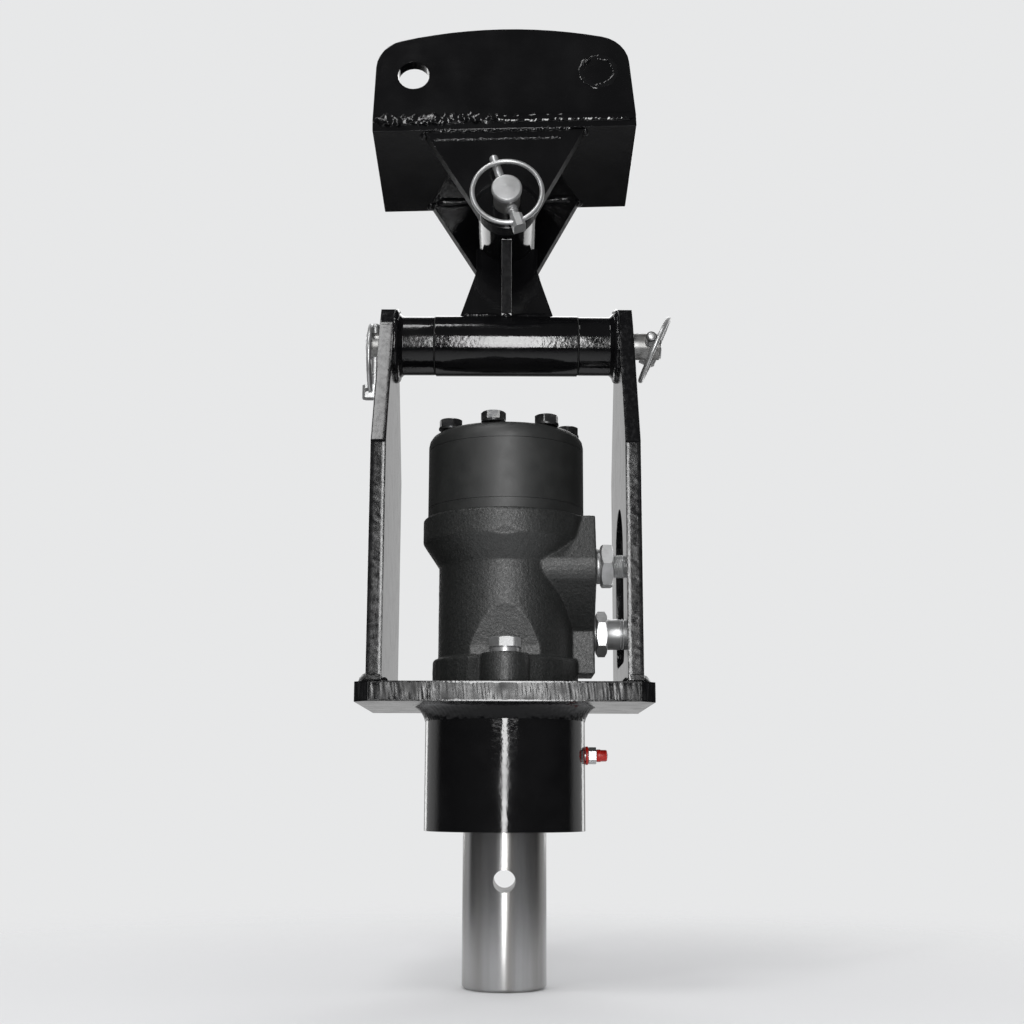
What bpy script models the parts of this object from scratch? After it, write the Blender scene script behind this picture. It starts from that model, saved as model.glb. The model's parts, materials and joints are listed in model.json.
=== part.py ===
"""Earth auger drive: a hydraulic motor and bearing hub in a yoke, hung from a double pivot hitch.

The origin is the centre of the auger shaft's lower end face. +Z runs up the shaft, +X is the
side of the motor's ports, and -Y is the front. All sizes are in metres.
"""
from math import acos, atan2, cos, degrees, hypot, pi, radians, sin, sqrt

import bmesh
import bpy
from mathutils import Matrix, Vector

for old in list(bpy.data.objects):
    bpy.data.objects.remove(old, do_unlink=True)

# Clearance between pieces that touch, the faces round a circle, and the distance of one point from itself
GAP = 0.0003
FINE = 36
ROUND = 24
COARSE = 16
SMALL = 12
TINY = 8
MERGE = 1e-7

# Auger shaft
SHAFT_DIA = 0.065
SHAFT_DROP = 0.117
SHAFT_END_CHAMFER = 0.002
AUGER_BOLT_HOLE_DIA = 0.017
AUGER_BOLT_HEIGHT = 0.0805

# Bearing hub, from its lower face up
HUB_WALL = 0.0155
HUB_HEADROOM = 0.004
SEAL_LENGTH = 0.010
SEAL_RECESS = 0.002
CIRCLIP_THICKNESS = 0.0025
CIRCLIP_DEPTH = 0.0025
BEARING_STEP = 0.0025
BEARING_SECTION = 0.0175
BEARING_WIDTH = 0.018
BALL_DIA = 0.011
BALL_COUNT = 8
CAGE_WALL = 0.0022
CAGE_WIDTH = 0.006
BEARING_SPACER_LENGTH = 0.028
LOCKNUT_WALL = 0.009
LOCKNUT_LENGTH = 0.011
HUB_SHOULDER = 0.004

# Grease nipple in the hub wall
NIPPLE_BELOW_PLATE = 0.0373
NIPPLE_THREAD_DIA = 0.0094
NIPPLE_HEX = 0.0115
NIPPLE_HEX_LENGTH = 0.006
NIPPLE_HEAD_DIA = 0.0062
NIPPLE_HEAD_LENGTH = 0.009
CAP_RING_THICKNESS = 0.0022
CAP_WALL = 0.0015
CAP_LIP_LENGTH = 0.0037
CAP_LIP_STEP = 0.0005
CAP_CHAMFER = 0.0009

# Yoke
PLATE_LEDGE = 0.009
PLATE_MARGIN = 0.002
PLATE_BEYOND_MOTOR = 0.004
PLATE_THICKNESS = 0.015
PLATE_CORNER = 0.011
LEG_THICKNESS = 0.012
LEG_SPACING = 0.183
LEG_SHOULDER_BELOW_PIN = 0.1005
LEG_TOP_WIDTH = 0.028
LEG_TOP_CHAMFER_DROP = 0.016
LEG_TOP_CHAMFER_RUN = 0.011
LEG_ABOVE_PIN = 0.0275
MOTOR_HEADROOM = 0.045
WINDOW_BESIDE_PORT = 0.022
WINDOW_BELOW_PORT = 0.027
WINDOW_ABOVE_PORT = 0.049
WINDOW_CORNER = 0.010
YOKE_BUSH_WALL = 0.01295
YOKE_BUSH_LENGTH = 0.0317
YOKE_BUSH_FILLET = 0.006

# Pins and linch pins
PIN_DIA = 0.022
PIN_CHAMFER = 0.0015
LINCH_LEFT_STAND_OFF = 0.0055
LINCH_RIGHT_STAND_OFF = 0.0145
LINCH_UPPER_STAND_OFF = 0.011
PIN_END_LEFT = 0.007
PIN_END_RIGHT = 0.010
PIN_END_UPPER = 0.011
LINCH_SHANK_DIA = 0.0070
LINCH_TIP = 0.029
LINCH_HEAD_REACH = 0.029
LINCH_HEAD_WIDTH = 0.010
LINCH_HEAD_LENGTH = 0.011
LINCH_UPPER_TILT = radians(16.3)
LINCH_LEFT_SLACK = 0.003
LINCH_RIGHT_ROLL = radians(25)
RING_DIA = 0.060
RING_WIRE = 0.004
RING_PLAY = 0.0006

# Cradle between the two pins, leaning back with the hitch
LEAN = radians(7.8)
PIN_SPACING = 0.100
LOWER_TUBE_WALL = 0.0094
LOWER_TUBE_PLAY = 0.0008
UPPER_TUBE_WALL = 0.0084
UPPER_TUBE_PLAY = 0.0015
LINER_WALL = 0.004
WEB_THICKNESS = 0.012
WEB_FOOT_WIDTH = 0.077
WEB_NECK_WIDTH = 0.051
WEB_NECK_BELOW_PIN = 0.034
WEB_TOP_BELOW_PIN = 0.012
RIB_THICKNESS = 0.008
RIB_FOOT_REACH = 0.016
RIB_TOP_SETBACK = 0.0045

# Hitch, hanging a little to one side on the upper pin
HITCH_SWING = radians(-1.7)
HITCH_DEPTH = 0.1287
HITCH_PLATE_THICKNESS = 0.0094
HITCH_PLATE_ABOVE_PIN = 0.0678
LUG_THICKNESS = 0.012
LUG_FACE_INSET = 0.002
LUG_TOP_WIDTH = 0.132
LUG_END_RADIUS = 0.0245
EAR_THICKNESS = 0.010
EAR_HEIGHT = 0.0886
EAR_NARROWING = 0.003
EAR_CORNER = 0.028
EAR_CROWN_RADIUS = 0.380
HITCH_HOLE_DIA = 0.0265
HITCH_HOLE_X = 0.075
HITCH_HOLE_HEIGHT = 0.0444
HITCH_HOLE_TO_EDGE = 0.0345
CROSS_PIN_SHIFT = 0.005

# Hydraulic motor, heights from the top of the yoke plate
MOTOR_FLANGE_STEP = 0.0045
MOTOR_FLANGE_THICKNESS = 0.022
MOTOR_FLANGE_EDGE = 0.002
MOTOR_PILOT_DIA = 0.0825
MOTOR_PILOT_DEPTH = 0.008
MOTOR_PILOT_TO_BOLT = 0.01875
MOTOR_EAR_WIDTH = 0.036
MOTOR_BOLT_DIA = 0.014
MOTOR_BOLT_HEX = 0.022
MOTOR_BOLT_HEAD = 0.009
MOTOR_BOLT_TIP_CLEARANCE = 0.0015
SPRING_WASHER_DIA = 0.0225
SPRING_WASHER_THICKNESS = 0.003
MOTOR_BODY_DIA = 0.107
MOTOR_CONE_FOOT = 0.096
MOTOR_CONE_RISE = 0.0195
MOTOR_RIM_BAND = 0.0195
MOTOR_RIM_STEP = 0.0035
MOTOR_RIM_CHAMFER = 0.0015
FACET_FOOT = 0.030
FACET_STEEPNESS = 4.5
FACET_CLEARANCE = 0.00255
SPACER_PLATE_THICKNESS = 0.008
GEROTOR_THICKNESS = 0.048
COVER_THICKNESS = 0.014
COVER_EDGE_RADIUS = 0.010
COVER_BOLT_COUNT = 7
COVER_BOLT_INSET = 0.013
COVER_BOLT_FIRST = radians(-11.3)
COVER_BOLT_DIA = 0.010
COVER_BOLT_HEX = 0.017
COVER_BOLT_HEAD = 0.0065
COVER_WASHER_DIA = 0.0195
COVER_WASHER_THICKNESS = 0.002
COVER_BOLT_BITE = 0.014

# Motor internals
OUTPUT_DIA = 0.032
OUTPUT_REACH = 0.056
OUTPUT_SOCKET_SPARE = 0.003
KEY_WIDTH = 0.010
KEY_HEIGHT = 0.008
KEY_SEAT = 0.0048
KEY_LENGTH = 0.032
SPOOL_DIA = 0.045
SPOOL_FOOT = 0.029
SPOOL_TOP_DROP = 0.004
SHAFT_SEAL_WALL = 0.0077
SHAFT_SEAL_LENGTH = 0.010
SHAFT_THROAT_PLAY = 0.0015
CARDAN_HEAD_DIA = 0.0234
CARDAN_NECK_DIA = 0.017
CARDAN_HEAD_LENGTH = 0.016
CARDAN_PLAY = 0.0007
CARDAN_FOOT = 0.070
ECCENTRICITY = 0.003
LOBE_CIRCLE = 0.076
LOBE_TO_BOLT = 0.012
LOBE_DIA = 0.016
LOBE_COUNT = 7
LOBE_FIRST = COVER_BOLT_FIRST + pi / LOBE_COUNT
SPACER_PLATE_BORE = 0.030
STAR_STEPS = 10

# Port block and hose adapters on the motor's +X side
PORT_STAND_OFF = 0.0045
PORT_UPPER_Y = -0.022
PORT_UPPER_HEIGHT = 0.095
PORT_LOWER_Y = 0.014
PORT_LOWER_HEIGHT = 0.045
PORT_BOSS_RADIUS = 0.024
PORT_TOP_FRONT_REACH = 0.007
PORT_TOP_REAR_REACH = 0.011
PORT_BORE_DEPTH = 0.016
ADAPTER_SHANK_DIA = 0.020
ADAPTER_HEX = 0.032
ADAPTER_HEX_BEVEL = 0.0013
UPPER_SEAL_THICKNESS = 0.0035
UPPER_HEX_LENGTH = 0.0096
UPPER_NECK_DIA = 0.0185
UPPER_NECK_LENGTH = 0.015
LOWER_SEAL_THICKNESS = 0.0014
LOWER_HEX_LENGTH = 0.0089
LOWER_NECK_DIA = 0.025
LOWER_NECK_LENGTH = 0.0134
ADAPTER_BORE_DIA = 0.011

# Widths that follow from the sizes above
BEARING_BORE = SHAFT_DIA - 2 * BEARING_STEP
BEARING_OD = BEARING_BORE + 2 * BEARING_SECTION
BEARING_PITCH = (BEARING_BORE + BEARING_OD) / 4
HUB_DIA = BEARING_OD + 2 * HUB_WALL
LOCKNUT_DIA = BEARING_BORE + 2 * LOCKNUT_WALL
LINER_BORE = PIN_DIA / 2 + GAP
TUBE_BORE = LINER_BORE + LINER_WALL + GAP
LOWER_TUBE_DIA = 2 * (TUBE_BORE + LOWER_TUBE_WALL)
UPPER_TUBE_DIA = 2 * (TUBE_BORE + UPPER_TUBE_WALL)
YOKE_BUSH_DIA = 2 * (PIN_DIA / 2 + GAP + YOKE_BUSH_WALL)
LEG_INNER = LEG_SPACING / 2
LEG_OUTER = LEG_INNER + LEG_THICKNESS
LOWER_TUBE_HALF = LEG_INNER - GAP - YOKE_BUSH_LENGTH - LOWER_TUBE_PLAY
LINCH_LEFT_X = LEG_OUTER + LINCH_LEFT_STAND_OFF
LINCH_RIGHT_X = LEG_OUTER + LINCH_RIGHT_STAND_OFF
LOWER_PIN_LEFT = LINCH_LEFT_X + PIN_END_LEFT
LOWER_PIN_RIGHT = LINCH_RIGHT_X + PIN_END_RIGHT
PLATE_WIDTH = 2 * (LEG_OUTER + PLATE_LEDGE)
MOTOR_BOLT_RADIUS = MOTOR_PILOT_DIA / 2 + MOTOR_PILOT_TO_BOLT
PLATE_DEPTH = 2 * (MOTOR_BOLT_RADIUS + MOTOR_EAR_WIDTH / 2 + PLATE_BEYOND_MOTOR)
LEG_WIDTH = PLATE_DEPTH - 2 * PLATE_MARGIN
LUG_OUTER = HITCH_DEPTH / 2 - LUG_FACE_INSET
LUG_INNER = LUG_OUTER - LUG_THICKNESS
UPPER_TUBE_HALF = LUG_INNER - UPPER_TUBE_PLAY
LINCH_UPPER_Y = LUG_OUTER + LINCH_UPPER_STAND_OFF
UPPER_PIN_HALF = LINCH_UPPER_Y + PIN_END_UPPER
HITCH_WIDTH = 2 * (HITCH_HOLE_X + HITCH_HOLE_TO_EDGE)
COVER_BOLT_CIRCLE = LOBE_CIRCLE + 2 * LOBE_TO_BOLT
MOTOR_STACK_DIA = COVER_BOLT_CIRCLE + 2 * COVER_BOLT_INSET
MOTOR_RIM_DIA = MOTOR_STACK_DIA + 2 * MOTOR_RIM_STEP
MOTOR_FLANGE_DIA = MOTOR_BODY_DIA + 2 * MOTOR_FLANGE_STEP
SHAFT_SEAL_DIA = OUTPUT_DIA + 2 * SHAFT_SEAL_WALL
PORT_FACE_X = MOTOR_RIM_DIA / 2 + PORT_STAND_OFF
PORT_BORE_DIA = ADAPTER_SHANK_DIA + 2 * GAP
RING_OFFSET = (LINCH_SHANK_DIA + RING_WIRE) / 2 + GAP
LINCH_LEFT_DROP = RING_DIA - 1.5 * RING_WIRE - LINCH_HEAD_REACH - PIN_DIA / 2 - LINCH_LEFT_SLACK

# Heights that follow, from the shaft's lower end up
HUB_FOOT_Z = SHAFT_DROP
SEAL_FOOT_Z = HUB_FOOT_Z + SEAL_RECESS
CIRCLIP_FOOT_Z = SEAL_FOOT_Z + SEAL_LENGTH + GAP
LOWER_BEARING_Z = CIRCLIP_FOOT_Z + CIRCLIP_THICKNESS + GAP
BEARING_SPACER_Z = LOWER_BEARING_Z + BEARING_WIDTH + GAP
UPPER_BEARING_Z = BEARING_SPACER_Z + BEARING_SPACER_LENGTH + GAP
LOCKNUT_Z = UPPER_BEARING_Z + BEARING_WIDTH + GAP
SHAFT_TOP_Z = LOCKNUT_Z + LOCKNUT_LENGTH
HUB_TOP_Z = SHAFT_TOP_Z + HUB_HEADROOM
PLATE_FOOT_Z = HUB_TOP_Z + GAP
PLATE_TOP_Z = PLATE_FOOT_Z + PLATE_THICKNESS
NIPPLE_Z = PLATE_FOOT_Z - NIPPLE_BELOW_PLATE
MOTOR_CONE_TOP = MOTOR_CONE_FOOT + MOTOR_CONE_RISE
MOTOR_RIM_TOP = MOTOR_CONE_TOP + MOTOR_RIM_BAND
RIM_TOP_Z = PLATE_TOP_Z + MOTOR_RIM_TOP
GEROTOR_FOOT_Z = RIM_TOP_Z + SPACER_PLATE_THICKNESS
COVER_FOOT_Z = GEROTOR_FOOT_Z + GEROTOR_THICKNESS
COVER_TOP_Z = COVER_FOOT_Z + COVER_THICKNESS
BOLT_TOP_Z = COVER_TOP_Z + COVER_WASHER_THICKNESS + COVER_BOLT_HEAD
PIN_Z = BOLT_TOP_Z + MOTOR_HEADROOM + LOWER_TUBE_DIA / 2
OUTPUT_FOOT_Z = PLATE_TOP_Z - OUTPUT_REACH
SOCKET_FOOT_Z = OUTPUT_FOOT_Z - OUTPUT_SOCKET_SPARE
HITCH_PLATE_FOOT = HITCH_PLATE_ABOVE_PIN
HITCH_PLATE_TOP = HITCH_PLATE_FOOT + HITCH_PLATE_THICKNESS


def material(name, colour, roughness, metallic):
    """A Principled material with one plain colour."""
    made = bpy.data.materials.new(name)
    made.use_nodes = True
    shader = made.node_tree.nodes["Principled BSDF"]
    shader.inputs["Base Color"].default_value = (*colour, 1.0)
    shader.inputs["Roughness"].default_value = roughness
    shader.inputs["Metallic"].default_value = metallic
    return made


PAINT = material("black_paint", (0.012, 0.012, 0.013), 0.22, 0.0)
STEEL = material("bright_steel", (0.62, 0.62, 0.62), 0.25, 1.0)
ZINC = material("zinc_plate", (0.72, 0.73, 0.74), 0.32, 1.0)
CAST = material("motor_casting", (0.045, 0.047, 0.050), 0.55, 0.3)
SMOOTH_GREY = material("motor_smooth_grey", (0.050, 0.052, 0.055), 0.38, 0.4)
BLACK_OXIDE = material("black_oxide", (0.060, 0.060, 0.062), 0.40, 0.8)
BEARING_STEEL = material("bearing_steel", (0.55, 0.56, 0.57), 0.18, 1.0)
BRONZE = material("liner_bronze", (0.55, 0.36, 0.16), 0.35, 1.0)
RUBBER = material("seal_rubber", (0.020, 0.020, 0.020), 0.70, 0.0)
RED_PLASTIC = material("red_plastic", (0.45, 0.010, 0.006), 0.35, 0.0)


def empty(name, parent=None, location=(0.0, 0.0, 0.0), rotation=(0.0, 0.0, 0.0)):
    """A frame that pieces are placed in."""
    frame = bpy.data.objects.new(name, None)
    bpy.context.scene.collection.objects.link(frame)
    frame.parent = parent
    frame.location = location
    frame.rotation_euler = rotation
    return frame


CRADLE = empty("cradle_pivot", None, (0.0, PIN_SPACING * sin(LEAN), PIN_Z + PIN_SPACING * cos(LEAN)),
               (-LEAN, 0.0, 0.0))
HITCH = empty("hitch_frame", CRADLE, (0.0, 0.0, 0.0), (0.0, HITCH_SWING, 0.0))
YOKE = empty("yoke_pivot", CRADLE, (0.0, 0.0, -PIN_SPACING), (LEAN, 0.0, 0.0))
DRIVE = empty("shaft_end_frame", YOKE, (0.0, 0.0, -PIN_Z))
OUTPUT = empty("auger_axis", DRIVE)


def arc(centre, radius, start, end, steps):
    """Points of an arc, from one angle to another in degrees."""
    points = []
    for step in range(steps + 1):
        angle = radians(start + (end - start) * step / steps)
        points.append((centre[0] + radius * cos(angle), centre[1] + radius * sin(angle)))
    return points


def hexagon(centre, across_flats, turn=0.0):
    """Corners of a hexagon; with no turn a corner points along the first axis."""
    return [(centre[0] + across_flats / sqrt(3) * cos(turn + k * pi / 3),
             centre[1] + across_flats / sqrt(3) * sin(turn + k * pi / 3)) for k in range(6)]


def add_prism(bm, outline, low, high, axis):
    """Extrude an outline along an axis: it lies in XY for Z, in XZ for Y and in YZ for X."""
    place = {"X": lambda u, v: (low, u, v), "Y": lambda u, v: (u, low, v), "Z": lambda u, v: (u, v, low)}
    along = {"X": (high - low, 0, 0), "Y": (0, high - low, 0), "Z": (0, 0, high - low)}
    face = bm.faces.new([bm.verts.new(place[axis](u, v)) for u, v in outline])
    grown = bmesh.ops.extrude_face_region(bm, geom=[face])
    moved = [item for item in grown["geom"] if isinstance(item, bmesh.types.BMVert)]
    bmesh.ops.translate(bm, verts=moved, vec=along[axis])


def prism(outline, low, high, axis="Z"):
    """One extruded outline as a new bmesh."""
    bm = bmesh.new()
    add_prism(bm, outline, low, high, axis)
    bmesh.ops.recalc_face_normals(bm, faces=bm.faces)
    return bm


AXIS_TURN = {"X": Matrix.Rotation(pi / 2, 4, "Y"), "Y": Matrix.Rotation(-pi / 2, 4, "X"),
             "Z": Matrix.Identity(4)}


def add_turned(bm, profile, count, axis="Z", centre=(0.0, 0.0, 0.0)):
    """Spin a (radius, height) profile about an axis; an end at radius 0 closes on the axis."""
    verts = [bm.verts.new((radius, 0.0, height)) for radius, height in profile]
    pairs = list(zip(verts, verts[1:]))
    if profile[0][0] > 0:
        pairs.append((verts[-1], verts[0]))
    edges = [bm.edges.new(pair) for pair in pairs]
    earlier = set(bm.verts) - set(verts)
    bmesh.ops.spin(bm, geom=verts + edges, cent=(0, 0, 0), axis=(0, 0, 1), angle=2 * pi, steps=count,
                   use_merge=True)
    new = [vert for vert in bm.verts if vert not in earlier]
    bmesh.ops.remove_doubles(bm, verts=new, dist=MERGE)
    new = [vert for vert in bm.verts if vert not in earlier]
    hubs = [vert for vert in new if vert.co.xy.length < MERGE and flat_about(vert)]
    bmesh.ops.dissolve_verts(bm, verts=hubs)
    new = [vert for vert in bm.verts if vert not in earlier]
    bmesh.ops.transform(bm, matrix=Matrix.Translation(centre) @ AXIS_TURN[axis], verts=new)


def flat_about(vert):
    """Whether the faces round a point on the axis make one flat end."""
    return all(abs(edge.other_vert(vert).co.z - vert.co.z) < MERGE for edge in vert.link_edges)


def turned(profile, count=FINE, axis="Z", centre=(0.0, 0.0, 0.0)):
    """One turned shape as a new bmesh."""
    bm = bmesh.new()
    add_turned(bm, profile, count, axis, centre)
    bmesh.ops.recalc_face_normals(bm, faces=bm.faces)
    return bm


def rod(radius, low, high, chamfer=0.0):
    """Profile of a solid rod, chamfered at both ends where asked."""
    if chamfer == 0.0:
        return [(0.0, low), (radius, low), (radius, high), (0.0, high)]
    return [(0.0, low), (radius - chamfer, low), (radius, low + chamfer), (radius, high - chamfer),
            (radius - chamfer, high), (0.0, high)]


def sleeve(inner, outer, low, high, chamfer=0.0):
    """Profile of a tube, its outer edges chamfered where asked."""
    if chamfer == 0.0:
        return [(inner, low), (outer, low), (outer, high), (inner, high)]
    return [(inner, low), (outer - chamfer, low), (outer, low + chamfer), (outer, high - chamfer),
            (outer - chamfer, high), (inner, high)]


def add_object(name, bm, parent, location=(0.0, 0.0, 0.0), matrix=None):
    """Put a bmesh in the scene as an object under a frame."""
    mesh = bpy.data.meshes.new(name)
    bm.to_mesh(mesh)
    bm.free()
    obj = bpy.data.objects.new(name, mesh)
    bpy.context.scene.collection.objects.link(obj)
    obj.parent = parent
    if matrix is None:
        obj.location = location
    else:
        obj.matrix_local = matrix
    return obj


def piece(name, bm, finish, parent, location=(0.0, 0.0, 0.0), matrix=None):
    """A sub-part of the drive, shaded smooth but for its sharp edges."""
    obj = add_object(name, bm, parent, location, matrix)
    obj.data.materials.append(finish)
    obj.data.shade_smooth()
    obj.data.set_sharp_from_angle(angle=radians(32))
    return obj


def tool(name, bm, parent, matrix=None):
    """A shape that only cuts or joins another and isn't part of the drive."""
    bmesh.ops.recalc_face_normals(bm, faces=bm.faces)
    obj = add_object(name + "_tool", bm, parent, matrix=matrix)
    obj.hide_render = True
    obj.display_type = "WIRE"
    return obj


def combine(obj, other, operation="DIFFERENCE"):
    """Cut a tool from an object, or join it on."""
    step = obj.modifiers.new(operation.lower(), "BOOLEAN")
    step.operation = operation
    step.solver = "EXACT"
    step.object = other


def drilled(obj, label, holes, axis, parent, faces=ROUND):
    """Drill round holes, each given as (centre in the hole's plane, diameter, low, high)."""
    bm = bmesh.new()
    for centre, diameter, low, high in holes:
        place = {"X": (0, *centre), "Y": (centre[0], 0, centre[1]), "Z": (*centre, 0)}[axis]
        add_turned(bm, rod(diameter / 2, low, high), faces, axis, place)
    combine(obj, tool(label, bm, parent))


def around(count, radius, first=0.0):
    """Centres spaced evenly on a circle; the first angle is measured from the front toward +X."""
    spots = []
    for k in range(count):
        angle = first + k * 2 * pi / count
        spots.append((radius * sin(angle), -radius * cos(angle)))
    return spots


def auger_shaft():
    """Shaft that carries the auger, stepped for its bearings and bored for the motor's shaft."""
    outer = SHAFT_DIA / 2
    seat = BEARING_BORE / 2 - 2 * GAP
    socket = OUTPUT_DIA / 2 + GAP
    shoulder = LOWER_BEARING_Z - GAP
    shaft = piece("auger_shaft", turned([
        (0.0, 0.0), (outer - SHAFT_END_CHAMFER, 0.0), (outer, SHAFT_END_CHAMFER), (outer, shoulder),
        (seat, shoulder), (seat, SHAFT_TOP_Z), (socket, SHAFT_TOP_Z), (socket, SOCKET_FOOT_Z),
        (0.0, SOCKET_FOOT_Z)]), STEEL, OUTPUT)
    bolt_hole = ((0.0, AUGER_BOLT_HEIGHT), AUGER_BOLT_HOLE_DIA, -SHAFT_DIA, SHAFT_DIA)
    drilled(shaft, "auger_bolt_hole", [bolt_hole], "Y", OUTPUT)
    half = KEY_WIDTH / 2 + GAP
    top = OUTPUT_DIA / 2 - KEY_SEAT + KEY_HEIGHT + GAP
    keyway = prism([(0.0, -half), (top, -half), (top, half), (0.0, half)], SOCKET_FOOT_Z + GAP,
                   SHAFT_TOP_Z + KEY_HEIGHT)
    combine(shaft, tool("auger_shaft_keyway", keyway, OUTPUT))


def bearing_race(name, inner, outer, groove_out, foot, parent):
    """A bearing race whose groove faces out of its outer side or into its bore."""
    ball = BALL_DIA / 2 + 3 * GAP
    middle = foot + BEARING_WIDTH / 2
    wall = outer if groove_out else inner
    half = degrees(acos(min(0.99, abs(wall - BEARING_PITCH) / ball)))
    if groove_out:
        groove = arc((BEARING_PITCH, middle), ball, 180 + half, 180 - half, 3)
        profile = [(inner, foot), (outer, foot)] + groove + [(outer, foot + BEARING_WIDTH),
                                                             (inner, foot + BEARING_WIDTH)]
    else:
        groove = arc((BEARING_PITCH, middle), ball, half, -half, 3)
        profile = [(inner, foot), (outer, foot), (outer, foot + BEARING_WIDTH),
                   (inner, foot + BEARING_WIDTH)] + groove
    piece(name, turned(profile, ROUND), BEARING_STEEL, parent)


def bearing(label, foot):
    """Deep groove ball bearing: two races, and a ring of balls joined to the cage that spaces them."""
    land = BALL_DIA * 0.22
    bore = BEARING_BORE / 2
    rim = BEARING_OD / 2
    bearing_race(label + "_bearing_inner_race", bore, BEARING_PITCH - land, True, foot, OUTPUT)
    bearing_race(label + "_bearing_outer_race", BEARING_PITCH + land, rim, False, foot, DRIVE)
    frame = empty(label + "_cage_frame", DRIVE, (0.0, 0.0, foot + BEARING_WIDTH / 2))
    wall = CAGE_WALL / 2
    ring = turned(sleeve(BEARING_PITCH - wall, BEARING_PITCH + wall, -CAGE_WIDTH / 2, CAGE_WIDTH / 2), ROUND)
    cage = piece(label + "_bearing_balls", ring, BEARING_STEEL, frame)
    balls = bmesh.new()
    for x, y in around(BALL_COUNT, BEARING_PITCH):
        bmesh.ops.create_uvsphere(balls, u_segments=TINY, v_segments=TINY // 2, radius=BALL_DIA / 2,
                                  matrix=Matrix.Translation((x, y, 0)))
    combine(cage, tool(label + "_ball_ring", balls, frame), "UNION")


def hub_housing():
    """Bearing hub, bored from below up to a shoulder for the upper bearing."""
    outer = HUB_DIA / 2
    bore = BEARING_OD / 2 + GAP
    shoulder = LOCKNUT_Z
    groove = bore + CIRCLIP_DEPTH
    groove_top = CIRCLIP_FOOT_Z + CIRCLIP_THICKNESS + GAP / 2
    groove_foot = CIRCLIP_FOOT_Z - GAP / 2
    hub = piece("hub_housing", turned([
        (bore, HUB_FOOT_Z), (outer, HUB_FOOT_Z), (outer, HUB_TOP_Z),
        (bore - HUB_SHOULDER, HUB_TOP_Z), (bore - HUB_SHOULDER, shoulder), (bore, shoulder),
        (bore, groove_top), (groove, groove_top), (groove, groove_foot), (bore, groove_foot)]), PAINT, DRIVE)
    nipple_hole = ((0.0, NIPPLE_Z), NIPPLE_THREAD_DIA + 2 * GAP, bore - BALL_DIA, HUB_DIA)
    drilled(hub, "nipple_hole", [nipple_hole], "X", DRIVE, SMALL)


def hub_inner_pieces():
    """Seal, circlip, spacer and locknut that keep the bearings in the hub."""
    bore = BEARING_OD / 2
    seat = BEARING_BORE / 2
    seal = sleeve(SHAFT_DIA / 2 + GAP, bore, SEAL_FOOT_Z, SEAL_FOOT_Z + SEAL_LENGTH)
    piece("hub_shaft_seal", turned(seal), RUBBER, DRIVE)
    clip_out = bore + CIRCLIP_DEPTH
    clip_in = clip_out - 2 * CIRCLIP_DEPTH
    open_half = 16
    outline = (arc((0, 0), clip_out, -90 + open_half, 270 - open_half, ROUND)
               + arc((0, 0), clip_in, 270 - open_half, -90 + open_half, ROUND))
    clip = prism(outline, CIRCLIP_FOOT_Z, CIRCLIP_FOOT_Z + CIRCLIP_THICKNESS)
    piece("bearing_circlip", clip, BLACK_OXIDE, DRIVE)
    piece("bearing_spacer", turned(sleeve(seat, seat + CIRCLIP_DEPTH, BEARING_SPACER_Z,
                                          BEARING_SPACER_Z + BEARING_SPACER_LENGTH), ROUND), STEEL, OUTPUT)
    nut = piece("shaft_locknut", turned(sleeve(seat, LOCKNUT_DIA / 2, LOCKNUT_Z, LOCKNUT_Z + LOCKNUT_LENGTH),
                                        ROUND), BLACK_OXIDE, OUTPUT)
    slots = bmesh.new()
    for x, y in around(4, LOCKNUT_DIA / 2):
        wide = KEY_HEIGHT / 2
        outline = [(x - wide, y - wide), (x + wide, y - wide), (x + wide, y + wide), (x - wide, y + wide)]
        add_prism(slots, outline, LOCKNUT_Z - wide, LOCKNUT_Z + LOCKNUT_LENGTH + wide, "Z")
    combine(nut, tool("locknut_slots", slots, OUTPUT))


def grease_nipple():
    """Nipple in the hub wall, standing off by its cap's ring, and the red cap itself."""
    face = HUB_DIA / 2 + GAP
    ring_top = face + CAP_RING_THICKNESS
    hex_foot = ring_top + GAP
    hex_top = hex_foot + NIPPLE_HEX_LENGTH
    stem = NIPPLE_THREAD_DIA / 2
    head = NIPPLE_HEAD_DIA / 2
    frame = empty("nipple_frame", DRIVE, (0.0, 0.0, NIPPLE_Z))
    nut = prism(hexagon((0, 0), NIPPLE_HEX, pi / 6), hex_foot, hex_top, "X")
    body = piece("grease_nipple", nut, ZINC, frame)
    ends = bmesh.new()
    add_turned(ends, rod(stem, BEARING_OD / 2 + GAP, hex_foot + GAP), SMALL, "X")
    add_turned(ends, [(0.0, hex_top - GAP), (head, hex_top - GAP), (head * 0.7, hex_top + head),
                      (head, hex_top + NIPPLE_HEAD_LENGTH * 0.6), (head * 0.6, hex_top + NIPPLE_HEAD_LENGTH),
                      (0.0, hex_top + NIPPLE_HEAD_LENGTH)], SMALL, "X")
    combine(body, tool("nipple_ends", ends, frame), "UNION")
    bore = head + GAP
    cap_foot = hex_top + GAP
    head_top = hex_top + NIPPLE_HEAD_LENGTH + GAP
    cap_top = head_top + CAP_WALL
    lip = bore + CAP_WALL
    out = lip - CAP_LIP_STEP
    lip_top = cap_foot + CAP_LIP_LENGTH
    cap = turned([
        (0.0, head_top), (bore, head_top), (bore, cap_foot), (lip, cap_foot), (lip, lip_top),
        (out, lip_top + CAP_LIP_STEP), (out, cap_top - CAP_CHAMFER), (out - CAP_CHAMFER, cap_top),
        (0.0, cap_top)], COARSE, "X")
    piece("nipple_cap", cap, RED_PLASTIC, frame)


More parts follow.
